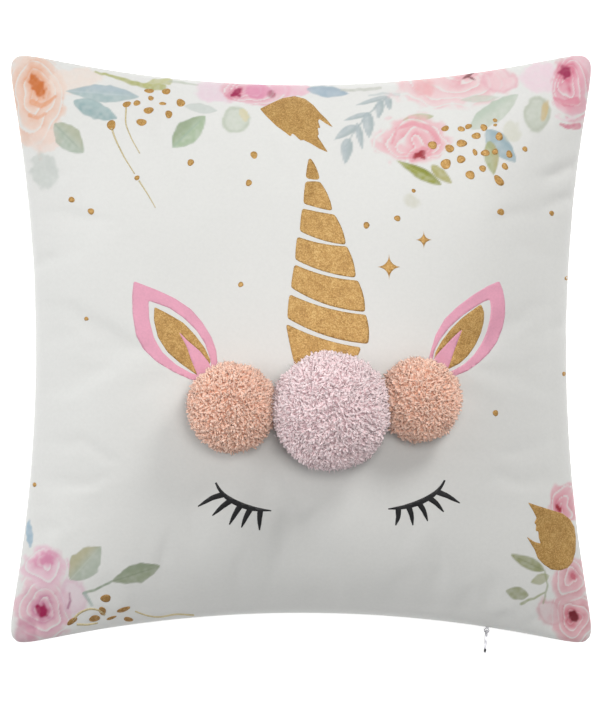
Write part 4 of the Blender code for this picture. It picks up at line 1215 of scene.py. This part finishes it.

# %% [markdown]
# Two gold leaves stand among the flowers, ragged along one side, with thin twigs and gold drops beside them.
# The drops by the bottom edge take a darker copy of the gold foil: painted shade near the cushion's lower
# edge.

# %% Gold leaves and twigs
TOP_LEAF = [(-31.0, 180.8), (-22.3, 185.4), (-14.2, 189.3), (-5.1, 191.0), (3.1, 188.8), (9.5, 183.6),
            (14.0, 177.9), (19.5, 172.3), (24.0, 166.3), (18.4, 169.4), (13.6, 173.0), (12.7, 171.0),
            (14.6, 165.6), (12.4, 166.2), (13.4, 160.4), (12.0, 160.0), (15.8, 154.0), (20.1, 147.0),
            (13.6, 149.9), (7.7, 153.6), (1.3, 156.8), (0.0, 155.8), (-6.5, 161.8), (-8.0, 159.2),
            (-11.4, 162.0), (-18.7, 167.5), (-26.0, 174.8)]
LOW_LEAF = [(170.5, -115.4), (178.4, -118.2), (189.0, -121.6), (197.7, -124.4), (203.8, -129.1),
            (207.2, -135.0), (208.4, -143.5), (208.0, -153.1), (205.6, -161.4), (201.8, -165.6),
            (195.8, -167.4), (189.0, -166.6), (183.3, -162.8), (178.4, -157.9), (175.9, -151.2),
            (169.6, -141.2), (175.5, -145.2), (180.6, -146.7), (179.0, -142.3), (178.6, -137.0),
            (176.6, -137.4), (177.0, -132.0), (175.4, -131.4), (177.3, -127.1), (174.4, -121.6)]
TWIGS = (
    ([(-142.4, 166.0), (-139.7, 157.8), (-132.6, 143.6), (-124.6, 131.0)], (0.7, 0.4)),
    ([(-121.4, 126.0), (-114.6, 115.6), (-108.7, 105.4)], (0.6, 0.3)),
    ([(-131.8, 182.0), (-132.1, 169.1), (-127.0, 157.0), (-120.8, 146.5)], (0.6, 0.35)),
    ([(-173.0, -205.4), (-167.6, -199.4), (-159.6, -196.0), (-152.6, -197.2), (-148.4, -201.4)], (0.9, 0.7)),
    ([(-125.6, -198.4), (-115.8, -202.4), (-106.5, -203.4), (-95.0, -200.6), (-81.0, -201.8)], (0.6, 0.7)),
    ([(-170.0, -208.6), (-162.0, -209.0), (-154.0, -207.6)], (0.9, 0.6)),
)
film("gold_leaves", [eased(np.array(points), 0.9, 1) for points in (TOP_LEAF, LOW_LEAF)], gold_foil)
# a darker copy of the gold foil: painted shade for the drops by the bottom edge
shaded_gold_foil = foil("shaded_gold_foil", rgba(120, 84, 40), rgba(168, 128, 74), rgba(204, 168, 112), metal=0.35)
twig_foil = foil("twig_foil", rgba(176, 160, 118), rgba(206, 192, 152), rgba(226, 214, 178), metal=0.2)
film("gold_twigs", [brushed(*twig) for twig in TWIGS], twig_foil)
# the drops by the bottom edge, in the darker foil as painted shade
film("shaded_gold_drops", [drop(*spot) for spot in BOTTOM_DROPS], shaded_gold_foil)

# %% [markdown]
# ## The pompoms
# A pompom is a bundle of yarn tied in the middle and cut to a ball, so what shows is thousands of
# crimped yarn ends. Geometry Nodes scatters points evenly over a core ball, stands a straight yarn
# end on each, makes them all real, and then pushes every end about with a noise that grows along
# it, which crimps each one in its own way. Fine stray fibres are added with the same tree.

# %% Geometry Nodes helpers


def new_tree(name, inputs):
    """A Geometry Nodes tree with a geometry input and output and the named number inputs."""
    tree = bpy.data.node_groups.new(name, "GeometryNodeTree")
    tree.interface.new_socket("Geometry", in_out="INPUT", socket_type="NodeSocketGeometry")
    for label, kind in inputs.items():
        tree.interface.new_socket(label, in_out="INPUT", socket_type=f"NodeSocket{kind}")
    tree.interface.new_socket("Geometry", in_out="OUTPUT", socket_type="NodeSocketGeometry")
    entry = node(tree, "NodeGroupInput")
    return tree, {socket.name: socket for socket in entry.outputs}


def close_tree(tree, geometry):
    leave = node(tree, "NodeGroupOutput")
    tree.links.new(geometry, leave.inputs[0])


def math_of(tree, operation, a, b=0.0, c=0.0):
    return node(tree, "ShaderNodeMath", settings={"operation": operation}, _0=a, _1=b, _2=c).outputs[0]


def vector_of(tree, operation, a, b=(0, 0, 0)):
    return node(tree, "ShaderNodeVectorMath", settings={"operation": operation}, _0=a, _1=b).outputs[0]


def stored(tree, geometry, name, value, kind="FLOAT", domain="POINT"):
    return node(tree, "GeometryNodeStoreNamedAttribute", settings={"data_type": kind, "domain": domain},
                Geometry=geometry, Name=name, Value=value).outputs[0]


def named(tree, name, kind="FLOAT"):
    return node(tree, "GeometryNodeInputNamedAttribute", settings={"data_type": kind}, Name=name).outputs[0]


def random_of(tree, low, high, seed):
    made = node(tree, "FunctionNodeRandomValue", settings={"data_type": "FLOAT"})
    made.inputs[2].default_value, made.inputs[3].default_value = low, high
    made.inputs["Seed"].default_value = seed
    return made.outputs[1]


def grown(name, tree, base, values, body_name):
    """The tree's result on the base mesh as a plain mesh object that rides on the body."""
    made = bpy.data.objects.new(name, base)
    scene.collection.objects.link(made)
    modifier = made.modifiers.new("grow", "NODES")
    modifier.node_group = tree
    for item in tree.interface.items_tree:
        if item.in_out == "INPUT" and item.name in values:
            modifier[item.identifier] = values[item.name]
    made.update_tag()
    bpy.context.view_layer.update()
    graph = bpy.context.evaluated_depsgraph_get()
    result = bpy.data.meshes.new_from_object(made.evaluated_get(graph))
    made.modifiers.clear()
    made.data = result
    result.name = name
    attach(made, body_name)
    return made


print("tools for growing repeated pieces are ready")

# %% [markdown]
# The tree's yarn end is a closed rod of a few rings, so that it can bend. How far along it each point lies is
# kept as an attribute, for the crimp and for the colour: the colour is painted paler at the cut end, as a
# painted highlight, and darker down between its neighbours, as painted shade.

# %% The yarn tree


def yarn_tree():
    tree, given = new_tree("yarn_pile", {
        "Spacing": "Float", "Length": "Float", "Radius": "Float", "Crimp": "Float", "Crimp Scale": "Float",
        "Rings": "Int", "Sides": "Int", "Seed": "Int", "Yarn": "Material", "Keep Core": "Bool",
    })
    spread = node(tree, "GeometryNodeDistributePointsOnFaces", settings={"distribute_method": "POISSON"},
                  Mesh=given["Geometry"], Distance_Min=given["Spacing"], Density_Max=2.0e6,
                  Seed=given["Seed"])
    open_face = named(tree, "open_face")
    tree.links.new(open_face, spread.inputs["Density Factor"])
    rod = node(tree, "GeometryNodeMeshCylinder", settings={"fill_type": "NGON"},
               Vertices=given["Sides"], Side_Segments=given["Rings"], Radius=given["Radius"],
               Depth=given["Length"])
    position = node(tree, "GeometryNodeInputPosition").outputs[0]
    height = node(tree, "ShaderNodeSeparateXYZ", Vector=position).outputs[2]
    share = math_of(tree, "ADD", math_of(tree, "DIVIDE", height, given["Length"]), 0.5)
    kept = stored(tree, rod.outputs["Mesh"], "along", share)
    taper = math_of(tree, "MULTIPLY_ADD", math_of(tree, "POWER", share, 8.0), -0.55, 1.0)
    flat = node(tree, "ShaderNodeCombineXYZ", X=taper, Y=taper, Z=1.0).outputs[0]
    lifted = vector_of(tree, "MULTIPLY", position, flat)
    half_length = math_of(tree, "MULTIPLY", given["Length"], 0.5)
    lifted = vector_of(tree, "ADD", lifted, node(tree, "ShaderNodeCombineXYZ", Z=half_length).outputs[0])
    kept = node(tree, "GeometryNodeSetPosition", Geometry=kept, Position=lifted).outputs[0]
    tilt = node(tree, "ShaderNodeCombineXYZ",
                X=random_of(tree, -1.05, 1.05, 3), Y=random_of(tree, -1.05, 1.05, 4),
                Z=random_of(tree, 0.0, 6.28, 5)).outputs[0]
    tilt = node(tree, "FunctionNodeEulerToRotation", Euler=tilt).outputs[0]
    turned = node(tree, "FunctionNodeRotateRotation", settings={"rotation_space": "LOCAL"},
                  Rotation=spread.outputs["Rotation"], Rotate_By=tilt).outputs[0]
    points = stored(tree, spread.outputs["Points"], "tone", random_of(tree, 0.0, 1.0, 6))
    size = node(tree, "ShaderNodeCombineXYZ", X=random_of(tree, 0.85, 1.15, 7),
                Y=random_of(tree, 0.85, 1.15, 8), Z=random_of(tree, 0.86, 1.06, 9)).outputs[0]
    placed = node(tree, "GeometryNodeInstanceOnPoints", Points=points, Instance=kept,
                  Rotation=turned, Scale=size).outputs[0]
    real = node(tree, "GeometryNodeRealizeInstances", Geometry=placed).outputs[0]
    place = node(tree, "GeometryNodeInputPosition").outputs[0]
    own = scaled(tree, node(tree, "ShaderNodeCombineXYZ", X=named(tree, "tone")).outputs[0], 0.9)
    field = vector_of(tree, "ADD", place, own)
    noise = node(tree, "ShaderNodeTexNoise", Vector=field, Scale=given["Crimp Scale"], Detail=1.0)
    push = vector_of(tree, "SUBTRACT", noise.outputs["Color"], (0.5, 0.5, 0.5))
    grip = math_of(tree, "MULTIPLY", math_of(tree, "POWER", named(tree, "along"), 1.5), given["Crimp"])
    bent = node(tree, "GeometryNodeSetPosition", Geometry=real, Offset=scaled(tree, push, grip)).outputs[0]
    core = node(tree, "GeometryNodeSwitch", settings={"input_type": "GEOMETRY"}, Switch=given["Keep Core"])
    tree.links.new(given["Geometry"], core.inputs["True"])
    joined = node(tree, "GeometryNodeJoinGeometry")
    tree.links.new(core.outputs[0], joined.inputs[0])
    tree.links.new(bent, joined.inputs[0])
    smooth = node(tree, "GeometryNodeSetShadeSmooth", Geometry=joined.outputs[0]).outputs[0]
    finished = node(tree, "GeometryNodeSetMaterial", Geometry=smooth, Material=given["Yarn"]).outputs[0]
    close_tree(tree, finished)
    return tree


YARN_TREE = yarn_tree()
print("yarn tree has", len(YARN_TREE.nodes), "nodes")

# %% [markdown]
# The yarn's colour carries painted light and shade. The material mixes three tones of one hue by how far
# along the yarn a point is: a deeper tone, painted shade, down in the gaps and a paler one, a painted
# highlight, at the tips. It shifts each yarn a little by its own random tone. A strong sheen stands for the
# fine fuzz on every strand, which catches light at its edges and keeps the gaps from going dark.

# %% Yarn material


def yarn(name, deep, body, tip):
    material, tree, shader = new_material(name)
    place = place_of(tree)
    along = node(tree, "ShaderNodeAttribute", settings={"attribute_name": "along"}).outputs["Fac"]
    tone = node(tree, "ShaderNodeAttribute", settings={"attribute_name": "tone"}).outputs["Fac"]
    # painted shade at the yarn's root and a painted highlight at its cut tip
    colour = ramp(tree, along, [(0.15, deep), (0.62, body), (0.97, tip)])
    shade = node(tree, "ShaderNodeMapRange", Value=tone, To_Min=0.90, To_Max=1.06).outputs[0]
    fibre = mottled(tree, scaled(tree, colour, shade), place, 900.0, 0.93, 1.05)
    tree.links.new(fibre, shader.inputs["Base Color"])
    shader.inputs["Roughness"].default_value = 0.9
    shader.inputs["Specular IOR Level"].default_value = 0.2
    shader.inputs["Sheen Weight"].default_value = 1.0
    shader.inputs["Sheen Roughness"].default_value = 0.7
    shader.inputs["Sheen Tint"].default_value = tip
    twist = node(tree, "ShaderNodeTexNoise", Vector=place, Scale=2200.0, Detail=2.0).outputs["Fac"]
    tree.links.new(bump(tree, twist, 0.00006, 0.3), shader.inputs["Normal"])
    return material


PEACH_YARN = yarn("peach_yarn", rgba(255, 206, 180), rgba(255, 214, 192), rgba(255, 221, 204))
LILAC_YARN = yarn("lilac_yarn", rgba(250, 224, 228), rgba(254, 232, 234), rgba(255, 238, 240))
# the stray fibres take paler copies of the yarn's tones: a painted pale rim of light round each pompom
PEACH_FUZZ_PAINTED_RIM = yarn("peach_fuzz", rgba(252, 206, 190), rgba(255, 216, 204), rgba(255, 224, 216))
LILAC_FUZZ_PAINTED_RIM = yarn("lilac_fuzz", rgba(246, 224, 232), rgba(250, 232, 238), rgba(255, 240, 246))
print("yarn materials made")

# %% [markdown]
# The core ball stands where the frame's pompom stands. It is flattened where it meets the cushion,
# and no yarn grows from that foot. Any yarn that bends into the cloth is lifted back onto it.

# %% Grow the pompoms
VISIBLE_REACH = {"left": 0.0325, "middle": 0.0428, "right": 0.0303}
PILE_DEPTH = 0.0056
CORE_DEPTH = 0.0036
FOOT = -0.52
FOOT_FLAT = FOOT - 0.06
PILE_FORM = {"Spacing": 0.00118, "Length": PILE_DEPTH, "Radius": 0.00080, "Crimp": 0.0058,
             "Crimp Scale": 420.0, "Rings": 4, "Sides": 4, "Seed": 3, "Keep Core": True}
STRAY_FORM = {"Spacing": 0.0034, "Length": PILE_DEPTH + 0.001, "Radius": 0.00009, "Crimp": 0.016,
              "Crimp Scale": 170.0, "Rings": 6, "Sides": 3, "Seed": 11, "Keep Core": False}


def core_ball(name, centre, radius, axis):
    """A lumpy ball with its foot pressed flat; its faces above the foot are marked as open."""
    ball = bmesh.new()
    bmesh.ops.create_icosphere(ball, subdivisions=4, radius=1)
    for vertex in ball.verts:
        lump = 1 + 0.03 * math.sin(7 * vertex.co.x + 3 * vertex.co.y) * math.sin(6 * vertex.co.z + 2)
        depth = vertex.co.dot(axis)
        place = vertex.co * radius * lump
        if depth < FOOT_FLAT:
            place -= axis * (place.dot(axis) - FOOT_FLAT * radius)
        vertex.co = centre + place
    mesh = bpy.data.meshes.new(name)
    ball.to_mesh(mesh)
    ball.free()
    grows = mesh.attributes.new("open_face", "FLOAT", "POINT")
    grows.data.foreach_set("value", [float((v.co - centre).dot(axis) > FOOT * radius) for v in mesh.vertices])
    # along stays 0 on the core, so the core takes the yarn's deepest tone: painted shade at the bottom of the
    # pile
    mesh.attributes.new("along", "FLOAT", "POINT")
    tone = mesh.attributes.new("tone", "FLOAT", "POINT")
    tone.data.foreach_set("value", np.full(len(mesh.vertices), 0.5))
    return mesh


def lift_clear(made, gap=0.0004):
    """Raises any point that has sunk into the cushion until it lies on the cloth."""
    places = np.empty(len(made.data.vertices) * 3)
    made.data.vertices.foreach_get("co", places)
    places = places.reshape(-1, 3)
    cloth_top = front_fine[..., 2].max()
    for i in np.nonzero(places[:, 2] < cloth_top + gap)[0]:
        hit, _ = cloth_under(places[i, 0] / MM, places[i, 1] / MM)
        places[i, 2] = max(places[i, 2], hit.z + gap)
    made.data.vertices.foreach_set("co", places.ravel())
    made.data.update()


for name, (centre, _) in POMPOMS.items():
    turn_axis = next(Vector(j["axis"]) for j in frame["joints"] if j["name"] == f"{name}_pompom_twist")
    core_radius = VISIBLE_REACH[name] - CORE_DEPTH
    material = LILAC_YARN if name == "middle" else PEACH_YARN
    fuzz = LILAC_FUZZ_PAINTED_RIM if name == "middle" else PEACH_FUZZ_PAINTED_RIM
    core = core_ball(f"{name}_core", centre, core_radius, turn_axis)
    pile = grown(f"pompom_{name}_yarn", YARN_TREE, core, PILE_FORM | {"Yarn": material},
                 f"{name}_pompom")
    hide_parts(f"pompom_{name}_pile")
    stray_core = core_ball(f"{name}_stray_core", centre, core_radius, turn_axis)
    stray = grown(f"pompom_{name}_strays", YARN_TREE, stray_core, STRAY_FORM | {"Yarn": fuzz},
                  f"{name}_pompom")
    lift_clear(pile)
    lift_clear(stray)
    print(name, "pompom:", len(pile.data.polygons), "yarn faces,", len(stray.data.polygons), "stray faces")

# %% [markdown]
# ## Seam stitches
# The panels are joined by a lockstitch whose short bars show down in the seam's groove. The tree walks
# a line round the closed part of the seam, marks it off in equal stitches, and lays one slanting bar
# of thread at each mark.

# %% Stitch tree
STITCH_PITCH = 0.0028
STITCH_REACH = 0.00085
STITCH_INSET = 0.00042
BAR_RADIUS = 0.00024


def bars_tree():
    tree, given = new_tree("stitch_bars", {
        "Pitch": "Float", "Bar Radius": "Float", "Bar Length": "Float", "Slant": "Float",
        "Thread": "Material",
    })
    line = node(tree, "GeometryNodeMeshToCurve", Mesh=given["Geometry"]).outputs[0]
    marks = node(tree, "GeometryNodeCurveToPoints", settings={"mode": "LENGTH"}, Curve=line,
                 Length=given["Pitch"])
    bar = node(tree, "GeometryNodeMeshUVSphere", Segments=6, Rings=6, Radius=1.0).outputs["Mesh"]
    half = math_of(tree, "MULTIPLY", given["Bar Length"], 0.5)
    size = node(tree, "ShaderNodeCombineXYZ", X=given["Bar Radius"], Y=given["Bar Radius"], Z=half).outputs[0]
    bar = node(tree, "GeometryNodeTransform", Geometry=bar, Scale=size).outputs[0]
    way = node(tree, "FunctionNodeAlignRotationToVector", settings={"axis": "X"},
               Vector=marks.outputs["Tangent"]).outputs[0]
    lean = node(tree, "ShaderNodeCombineXYZ", Y=given["Slant"]).outputs[0]
    lean = node(tree, "FunctionNodeEulerToRotation", Euler=lean).outputs[0]
    way = node(tree, "FunctionNodeRotateRotation", settings={"rotation_space": "LOCAL"},
               Rotation=way, Rotate_By=lean).outputs[0]
    placed = node(tree, "GeometryNodeInstanceOnPoints", Points=marks.outputs["Points"], Instance=bar,
                  Rotation=way).outputs[0]
    real = node(tree, "GeometryNodeRealizeInstances", Geometry=placed).outputs[0]
    smooth = node(tree, "GeometryNodeSetShadeSmooth", Geometry=real).outputs[0]
    close_tree(tree, node(tree, "GeometryNodeSetMaterial", Geometry=smooth,
                          Material=given["Thread"]).outputs[0])
    return tree


def line_mesh(name, points, closed=False):
    mesh = bpy.data.meshes.new(name)
    edges = [(i, i + 1) for i in range(len(points) - 1)] + ([(len(points) - 1, 0)] if closed else [])
    mesh.from_pydata([tuple(p) for p in points], edges, [])
    return mesh


def thread_material(name, colour, scale=2600.0):
    """Twisted thread: fine slanting plies, matt, a little uneven."""
    material, tree, shader = new_material(name)
    place = place_of(tree)
    plies = node(tree, "ShaderNodeTexWave", settings={"wave_type": "BANDS", "bands_direction": "DIAGONAL"},
                 Vector=place, Scale=scale / 10, Distortion=1.0, Detail=1.0).outputs["Fac"]
    base = node(tree, "ShaderNodeRGB").outputs[0]
    base.default_value = colour
    base = mottled(tree, base, place, 500.0, 0.9, 1.06)
    tree.links.new(base, shader.inputs["Base Color"])
    shader.inputs["Roughness"].default_value = 0.7
    shader.inputs["Sheen Weight"].default_value = 0.2
    tree.links.new(bump(tree, plies, 0.00012, 0.6), shader.inputs["Normal"])
    return material


seam_line = front_fine.reshape(-1, 3)[rim_loop(FINE)].copy()
seam_line = lip_ring(seam_line, STITCH_INSET, 0.0, True)
beside_zip = ((seam_line[:, 1] < BOTTOM_EDGE) & (seam_line[:, 0] > ZIP_SPAN[0])
              & (seam_line[:, 0] < ZIP_SPAN[1]))
after_zip = int(np.nonzero(beside_zip & ~np.roll(beside_zip, -1))[0][0]) + 1
seam_line = np.roll(seam_line, -after_zip, axis=0)[: int((~beside_zip).sum())]
white_thread = thread_material("white_thread", rgba(226, 225, 220))
stitches = grown("cover_seam_stitches", bars_tree(), line_mesh("seam_line", seam_line), {
    "Pitch": STITCH_PITCH, "Bar Radius": BAR_RADIUS, "Bar Length": 2 * STITCH_REACH, "Slant": 0.35,
    "Thread": white_thread,
}, "cushion")
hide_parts("cover_seam_thread")
print("seam stitches:", len(stitches.data.polygons), "faces")

# %% [markdown]
# ## The zip
# A concealed coil zip lies just inside the bottom seam. Each half is a nylon filament wound into even
# loops round a filler cord and sewn to a woven tape. The tree winds the loops along the seam's own
# arc, and a second copy of it makes the filler cord.

# %% Coil tree
COIL_RING = 0.00060
COIL_WIRE = 0.00027
COIL_PITCH = 0.0014
CORD_RADIUS = 0.00036
COIL_LINE_STEPS = 120


def coil_tree():
    tree, given = new_tree("zip_coil", {
        "Pitch": "Float", "Ring": "Float", "Wire": "Float", "Cord": "Float", "Slant": "Float",
        "Nylon": "Material",
    })
    line = node(tree, "GeometryNodeMeshToCurve", Mesh=given["Geometry"]).outputs[0]
    marks = node(tree, "GeometryNodeCurveToPoints", settings={"mode": "LENGTH"}, Curve=line,
                 Length=given["Pitch"])
    ring = node(tree, "GeometryNodeCurvePrimitiveCircle", Resolution=9, Radius=given["Ring"]).outputs[0]
    wire = node(tree, "GeometryNodeCurvePrimitiveCircle", Resolution=4, Radius=given["Wire"]).outputs[0]
    loop = node(tree, "GeometryNodeCurveToMesh", Curve=ring, Profile_Curve=wire).outputs[0]
    lean = node(tree, "ShaderNodeCombineXYZ", X=given["Slant"]).outputs[0]
    lean = node(tree, "FunctionNodeEulerToRotation", Euler=lean).outputs[0]
    way = node(tree, "FunctionNodeAlignRotationToVector", settings={"axis": "Z"},
               Vector=marks.outputs["Tangent"]).outputs[0]
    way = node(tree, "FunctionNodeRotateRotation", settings={"rotation_space": "LOCAL"},
               Rotation=way, Rotate_By=lean).outputs[0]
    placed = node(tree, "GeometryNodeInstanceOnPoints", Points=marks.outputs["Points"], Instance=loop,
                  Rotation=way).outputs[0]
    real = node(tree, "GeometryNodeRealizeInstances", Geometry=placed).outputs[0]
    round_cord = node(tree, "GeometryNodeCurvePrimitiveCircle", Resolution=6, Radius=given["Cord"]).outputs[0]
    cord = node(tree, "GeometryNodeCurveToMesh", Curve=line, Profile_Curve=round_cord,
                Fill_Caps=True).outputs[0]
    joined = node(tree, "GeometryNodeJoinGeometry")
    tree.links.new(cord, joined.inputs[0])
    tree.links.new(real, joined.inputs[0])
    smooth = node(tree, "GeometryNodeSetShadeSmooth", Geometry=joined.outputs[0]).outputs[0]
    close_tree(tree, node(tree, "GeometryNodeSetMaterial", Geometry=smooth,
                          Material=given["Nylon"]).outputs[0])
    return tree


def coil_line(node_name):
    """The middle line of one half of the coil, along the bottom seam's arc."""
    low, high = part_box(node_name)
    half_chord, bow = COVER_HALF[0], BOWS[1]
    radius = (half_chord**2 + bow**2) / (2 * bow)
    thick = (high.z - low.z) / 2
    crest = -COVER_HALF[1] + bow
    centre_y = crest - radius
    along = np.linspace(low.x + thick, high.x - thick, COIL_LINE_STEPS)
    depth = high.y - crest - thick
    y = centre_y + np.sqrt((radius + depth) ** 2 - along**2)
    return np.stack((along, y, np.full_like(along, (low.z + high.z) / 2)), axis=-1)


def plastic(name, colour, roughness=0.38):
    material, tree, shader = new_material(name)
    place = place_of(tree)
    base = node(tree, "ShaderNodeRGB").outputs[0]
    base.default_value = colour
    tree.links.new(mottled(tree, base, place, 300.0, 0.93, 1.04), shader.inputs["Base Color"])
    scuff = node(tree, "ShaderNodeTexNoise", Vector=place, Scale=900.0, Detail=3.0).outputs["Fac"]
    rough = node(tree, "ShaderNodeMapRange", Value=scuff, To_Min=roughness - 0.1,
                 To_Max=roughness + 0.1).outputs[0]
    tree.links.new(rough, shader.inputs["Roughness"])
    tree.links.new(bump(tree, scuff, 0.00005, 0.3), shader.inputs["Normal"])
    return material


NYLON = plastic("white_nylon", rgba(232, 232, 230))
COIL_TREE = coil_tree()
for half in ("front", "back"):
    coil = grown(f"zip_coil_loops_{half}", COIL_TREE, line_mesh("coil_line", coil_line(f"zip_coil_{half}")), {
        "Pitch": COIL_PITCH, "Ring": COIL_RING, "Wire": COIL_WIRE, "Cord": CORD_RADIUS, "Slant": 0.22,
        "Nylon": NYLON,
    }, "cushion")
    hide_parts(f"zip_coil_{half}")
    print("coil", half, len(coil.data.polygons), "faces")

# %% [markdown]
# The tapes, stops, slider and pull keep the frame's own shapes and get real finishes: a herringbone
# tape, and plated metal that is brushed along its length, duller where fingers have rubbed it.

# %% Tape, metal and tie finishes


def tape_material():
    material, tree, shader = new_material("woven_tape")
    place = place_of(tree)
    warp = node(tree, "ShaderNodeTexWave", settings={"wave_type": "BANDS", "bands_direction": "X"},
                Vector=place, Scale=110.0, Distortion=0.4).outputs["Fac"]
    weft = node(tree, "ShaderNodeTexWave", settings={"wave_type": "BANDS", "bands_direction": "DIAGONAL"},
                Vector=place, Scale=90.0, Distortion=0.8).outputs["Fac"]
    height = math_of(tree, "MULTIPLY", warp, weft)
    # the tape is painted darker where the weave is low: painted shade in the weave's hollows
    base = ramp(tree, height, [(0.0, rgba(206, 206, 202)), (1.0, rgba(236, 236, 233))])
    tree.links.new(mottled(tree, base, place, 60.0, 0.95, 1.03), shader.inputs["Base Color"])
    shader.inputs["Roughness"].default_value = 0.75
    shader.inputs["Sheen Weight"].default_value = 0.2
    tree.links.new(bump(tree, height, 0.0002, 0.7), shader.inputs["Normal"])
    return material


def brushed_metal(name, colour, dark):
    material, tree, shader = new_material(name)
    place = place_of(tree)
    stretched = node(tree, "ShaderNodeMapping", Vector=place, Scale=(1.0, 0.06, 1.0)).outputs[0]
    streaks = node(tree, "ShaderNodeTexNoise", Vector=stretched, Scale=4200.0, Detail=3.0).outputs["Fac"]
    patches = node(tree, "ShaderNodeTexNoise", Vector=place, Scale=320.0, Detail=3.0).outputs["Fac"]
    colour = ramp(tree, patches, [(0.3, dark), (0.62, colour)])
    tree.links.new(colour, shader.inputs["Base Color"])
    shader.inputs["Metallic"].default_value = 0.95
    rough = node(tree, "ShaderNodeMapRange", Value=streaks, To_Min=0.24, To_Max=0.48).outputs[0]
    tree.links.new(rough, shader.inputs["Roughness"])
    tree.links.new(bump(tree, streaks, 0.00004, 0.4), shader.inputs["Normal"])
    return material


def refinish(name, material):
    held = NODES[name].data.materials
    held.clear()
    held.append(material)


TAPE = tape_material()
METAL = brushed_metal("plated_zinc", rgba(150, 150, 154), rgba(98, 98, 102))
TIE_PEACH = thread_material("peach_tie_thread", rgba(228, 168, 142))
TIE_LILAC = thread_material("lilac_tie_thread", rgba(214, 190, 198))
for half in ("front", "back"):
    refinish(f"zip_tape_{half}", TAPE)
    refinish(f"zip_top_stop_{half}", METAL)
for name in ("zip_bottom_stop", "zip_slider_body", "zip_pull_tab"):
    refinish(name, METAL)
for name in POMPOMS:
    refinish(f"pompom_{name}_tie", TIE_LILAC if name == "middle" else TIE_PEACH)
print("frame pieces refinished")

# %% [markdown]
# ## The insert
# Inside the cover is a separate pillow: a thin nonwoven case filled with hollow fibre. It is a little
# smaller than the cover and only shows when the zip is open, but it is a real piece, so it has its own
# puckered case and its own lumpy filling.

# %% Insert
INSERT_SCALE = 0.905
CASE_CLOTH = 0.0004
FILL_GAP = 0.0008
CASE_SLIT = 0.0003
FRONT_FALL = 0.0028
BACK_SHARE = 0.0586 / REST_DEPTH
INSERT_STEPS = 90
FIBRE_INSET = 0.0018
FIBRE_LUMPS = 0.0007
RIM_MARGIN = 0.00005


def insert_places(front, inset=0.0, lumps=0.0004, seed=30):
    """One side of the pillow as a grid, inset all over by inset, and lumpy inwards."""
    u, v = grid_uv(INSERT_STEPS)
    x, y = plan_places(u, v)
    scale = INSERT_SCALE - inset / 0.2
    x, y = x * scale, y * scale
    rise = crown(u, v, FRONT_CROWN - FRONT_FALL) if front else rested(crown(u, v, BACK_CROWN)) * BACK_SHARE
    soft = smooth_step(rise, 0.0, 0.02)
    lump = lumps * (cloud(x / MM, y / MM, 11, seed) + 0.6 * cloud(x / MM, y / MM, 5, seed + 1) - 1.6)
    rise = np.maximum(rise * (1 - inset / 0.06) + soft * lump, 0)
    z = SEAM_HEIGHT + (1 if front else -1) * (CASE_SLIT / 2 + rise)
    return np.stack((x, y, z), axis=-1)


def closed_pair(name, upper, lower, material):
    """A closed mesh from two grids of one size, the upper one facing up, joined round their rims."""
    steps = len(upper) - 1
    count = (steps + 1) ** 2
    points = np.concatenate((upper.reshape(-1, 3), lower.reshape(-1, 3)))
    rim = rim_loop(steps)
    wall = np.stack((rim, rim + count, np.roll(rim, -1) + count, np.roll(rim, -1)), axis=-1)
    faces = quads_of(steps).tolist() + (quads_of(steps, False) + count).tolist() + wall.tolist()
    mesh = bpy.data.meshes.new(name)
    mesh.from_pydata(points.tolist(), [], faces)
    mesh.polygons.foreach_set("use_smooth", np.ones(len(mesh.polygons), bool))
    mesh.materials.append(material)
    made = bpy.data.objects.new(name, mesh)
    scene.collection.objects.link(made)
    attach(made, "cushion")
    return made


def soft_white(name, colour, scale, strength):
    material, tree, shader = new_material(name)
    place = place_of(tree)
    dots = node(tree, "ShaderNodeTexVoronoi", Vector=place, Scale=scale).outputs["Distance"]
    fibres = node(tree, "ShaderNodeTexNoise", Vector=place, Scale=scale * 0.6, Detail=6.0).outputs["Fac"]
    base = node(tree, "ShaderNodeRGB").outputs[0]
    base.default_value = colour
    tree.links.new(mottled(tree, base, place, scale * 0.3, 0.93, 1.03), shader.inputs["Base Color"])
    shader.inputs["Roughness"].default_value = 0.9
    shader.inputs["Sheen Weight"].default_value = 0.2
    height = math_of(tree, "MULTIPLY", dots, fibres)
    tree.links.new(bump(tree, height, 0.0006, strength), shader.inputs["Normal"])
    return material


CASE_WHITE = soft_white("nonwoven_case", rgba(238, 238, 236), 700.0, 0.4)
FIBRE_WHITE = soft_white("hollow_fibre", rgba(242, 242, 240), 260.0, 0.8)
case_front = insert_places(True)
case_back = insert_places(False)
front_inside = case_front - (0, 0, CASE_CLOTH)
front_inside[..., 2] = np.maximum(front_inside[..., 2], SEAM_HEIGHT + RIM_MARGIN)
back_inside = case_back + (0, 0, CASE_CLOTH)
back_inside[..., 2] = np.minimum(back_inside[..., 2], SEAM_HEIGHT - RIM_MARGIN)
front_case = closed_pair("insert_case_front_cloth", case_front, front_inside, CASE_WHITE)
back_case = closed_pair("insert_case_back_cloth", back_inside, case_back, CASE_WHITE)
fibre_front = insert_places(True, FIBRE_INSET, FIBRE_LUMPS, 40) - (0, 0, FILL_GAP)
fibre_back = insert_places(False, FIBRE_INSET, FIBRE_LUMPS, 44) + (0, 0, FILL_GAP)
filling = closed_pair("insert_fibre", fibre_front, fibre_back, FIBRE_WHITE)
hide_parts("insert_case_front")
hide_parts("insert_case_back")
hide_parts("insert_fibre_filling")
print("insert made of", sum(len(o.data.polygons) for o in (front_case, back_case, filling)), "faces")
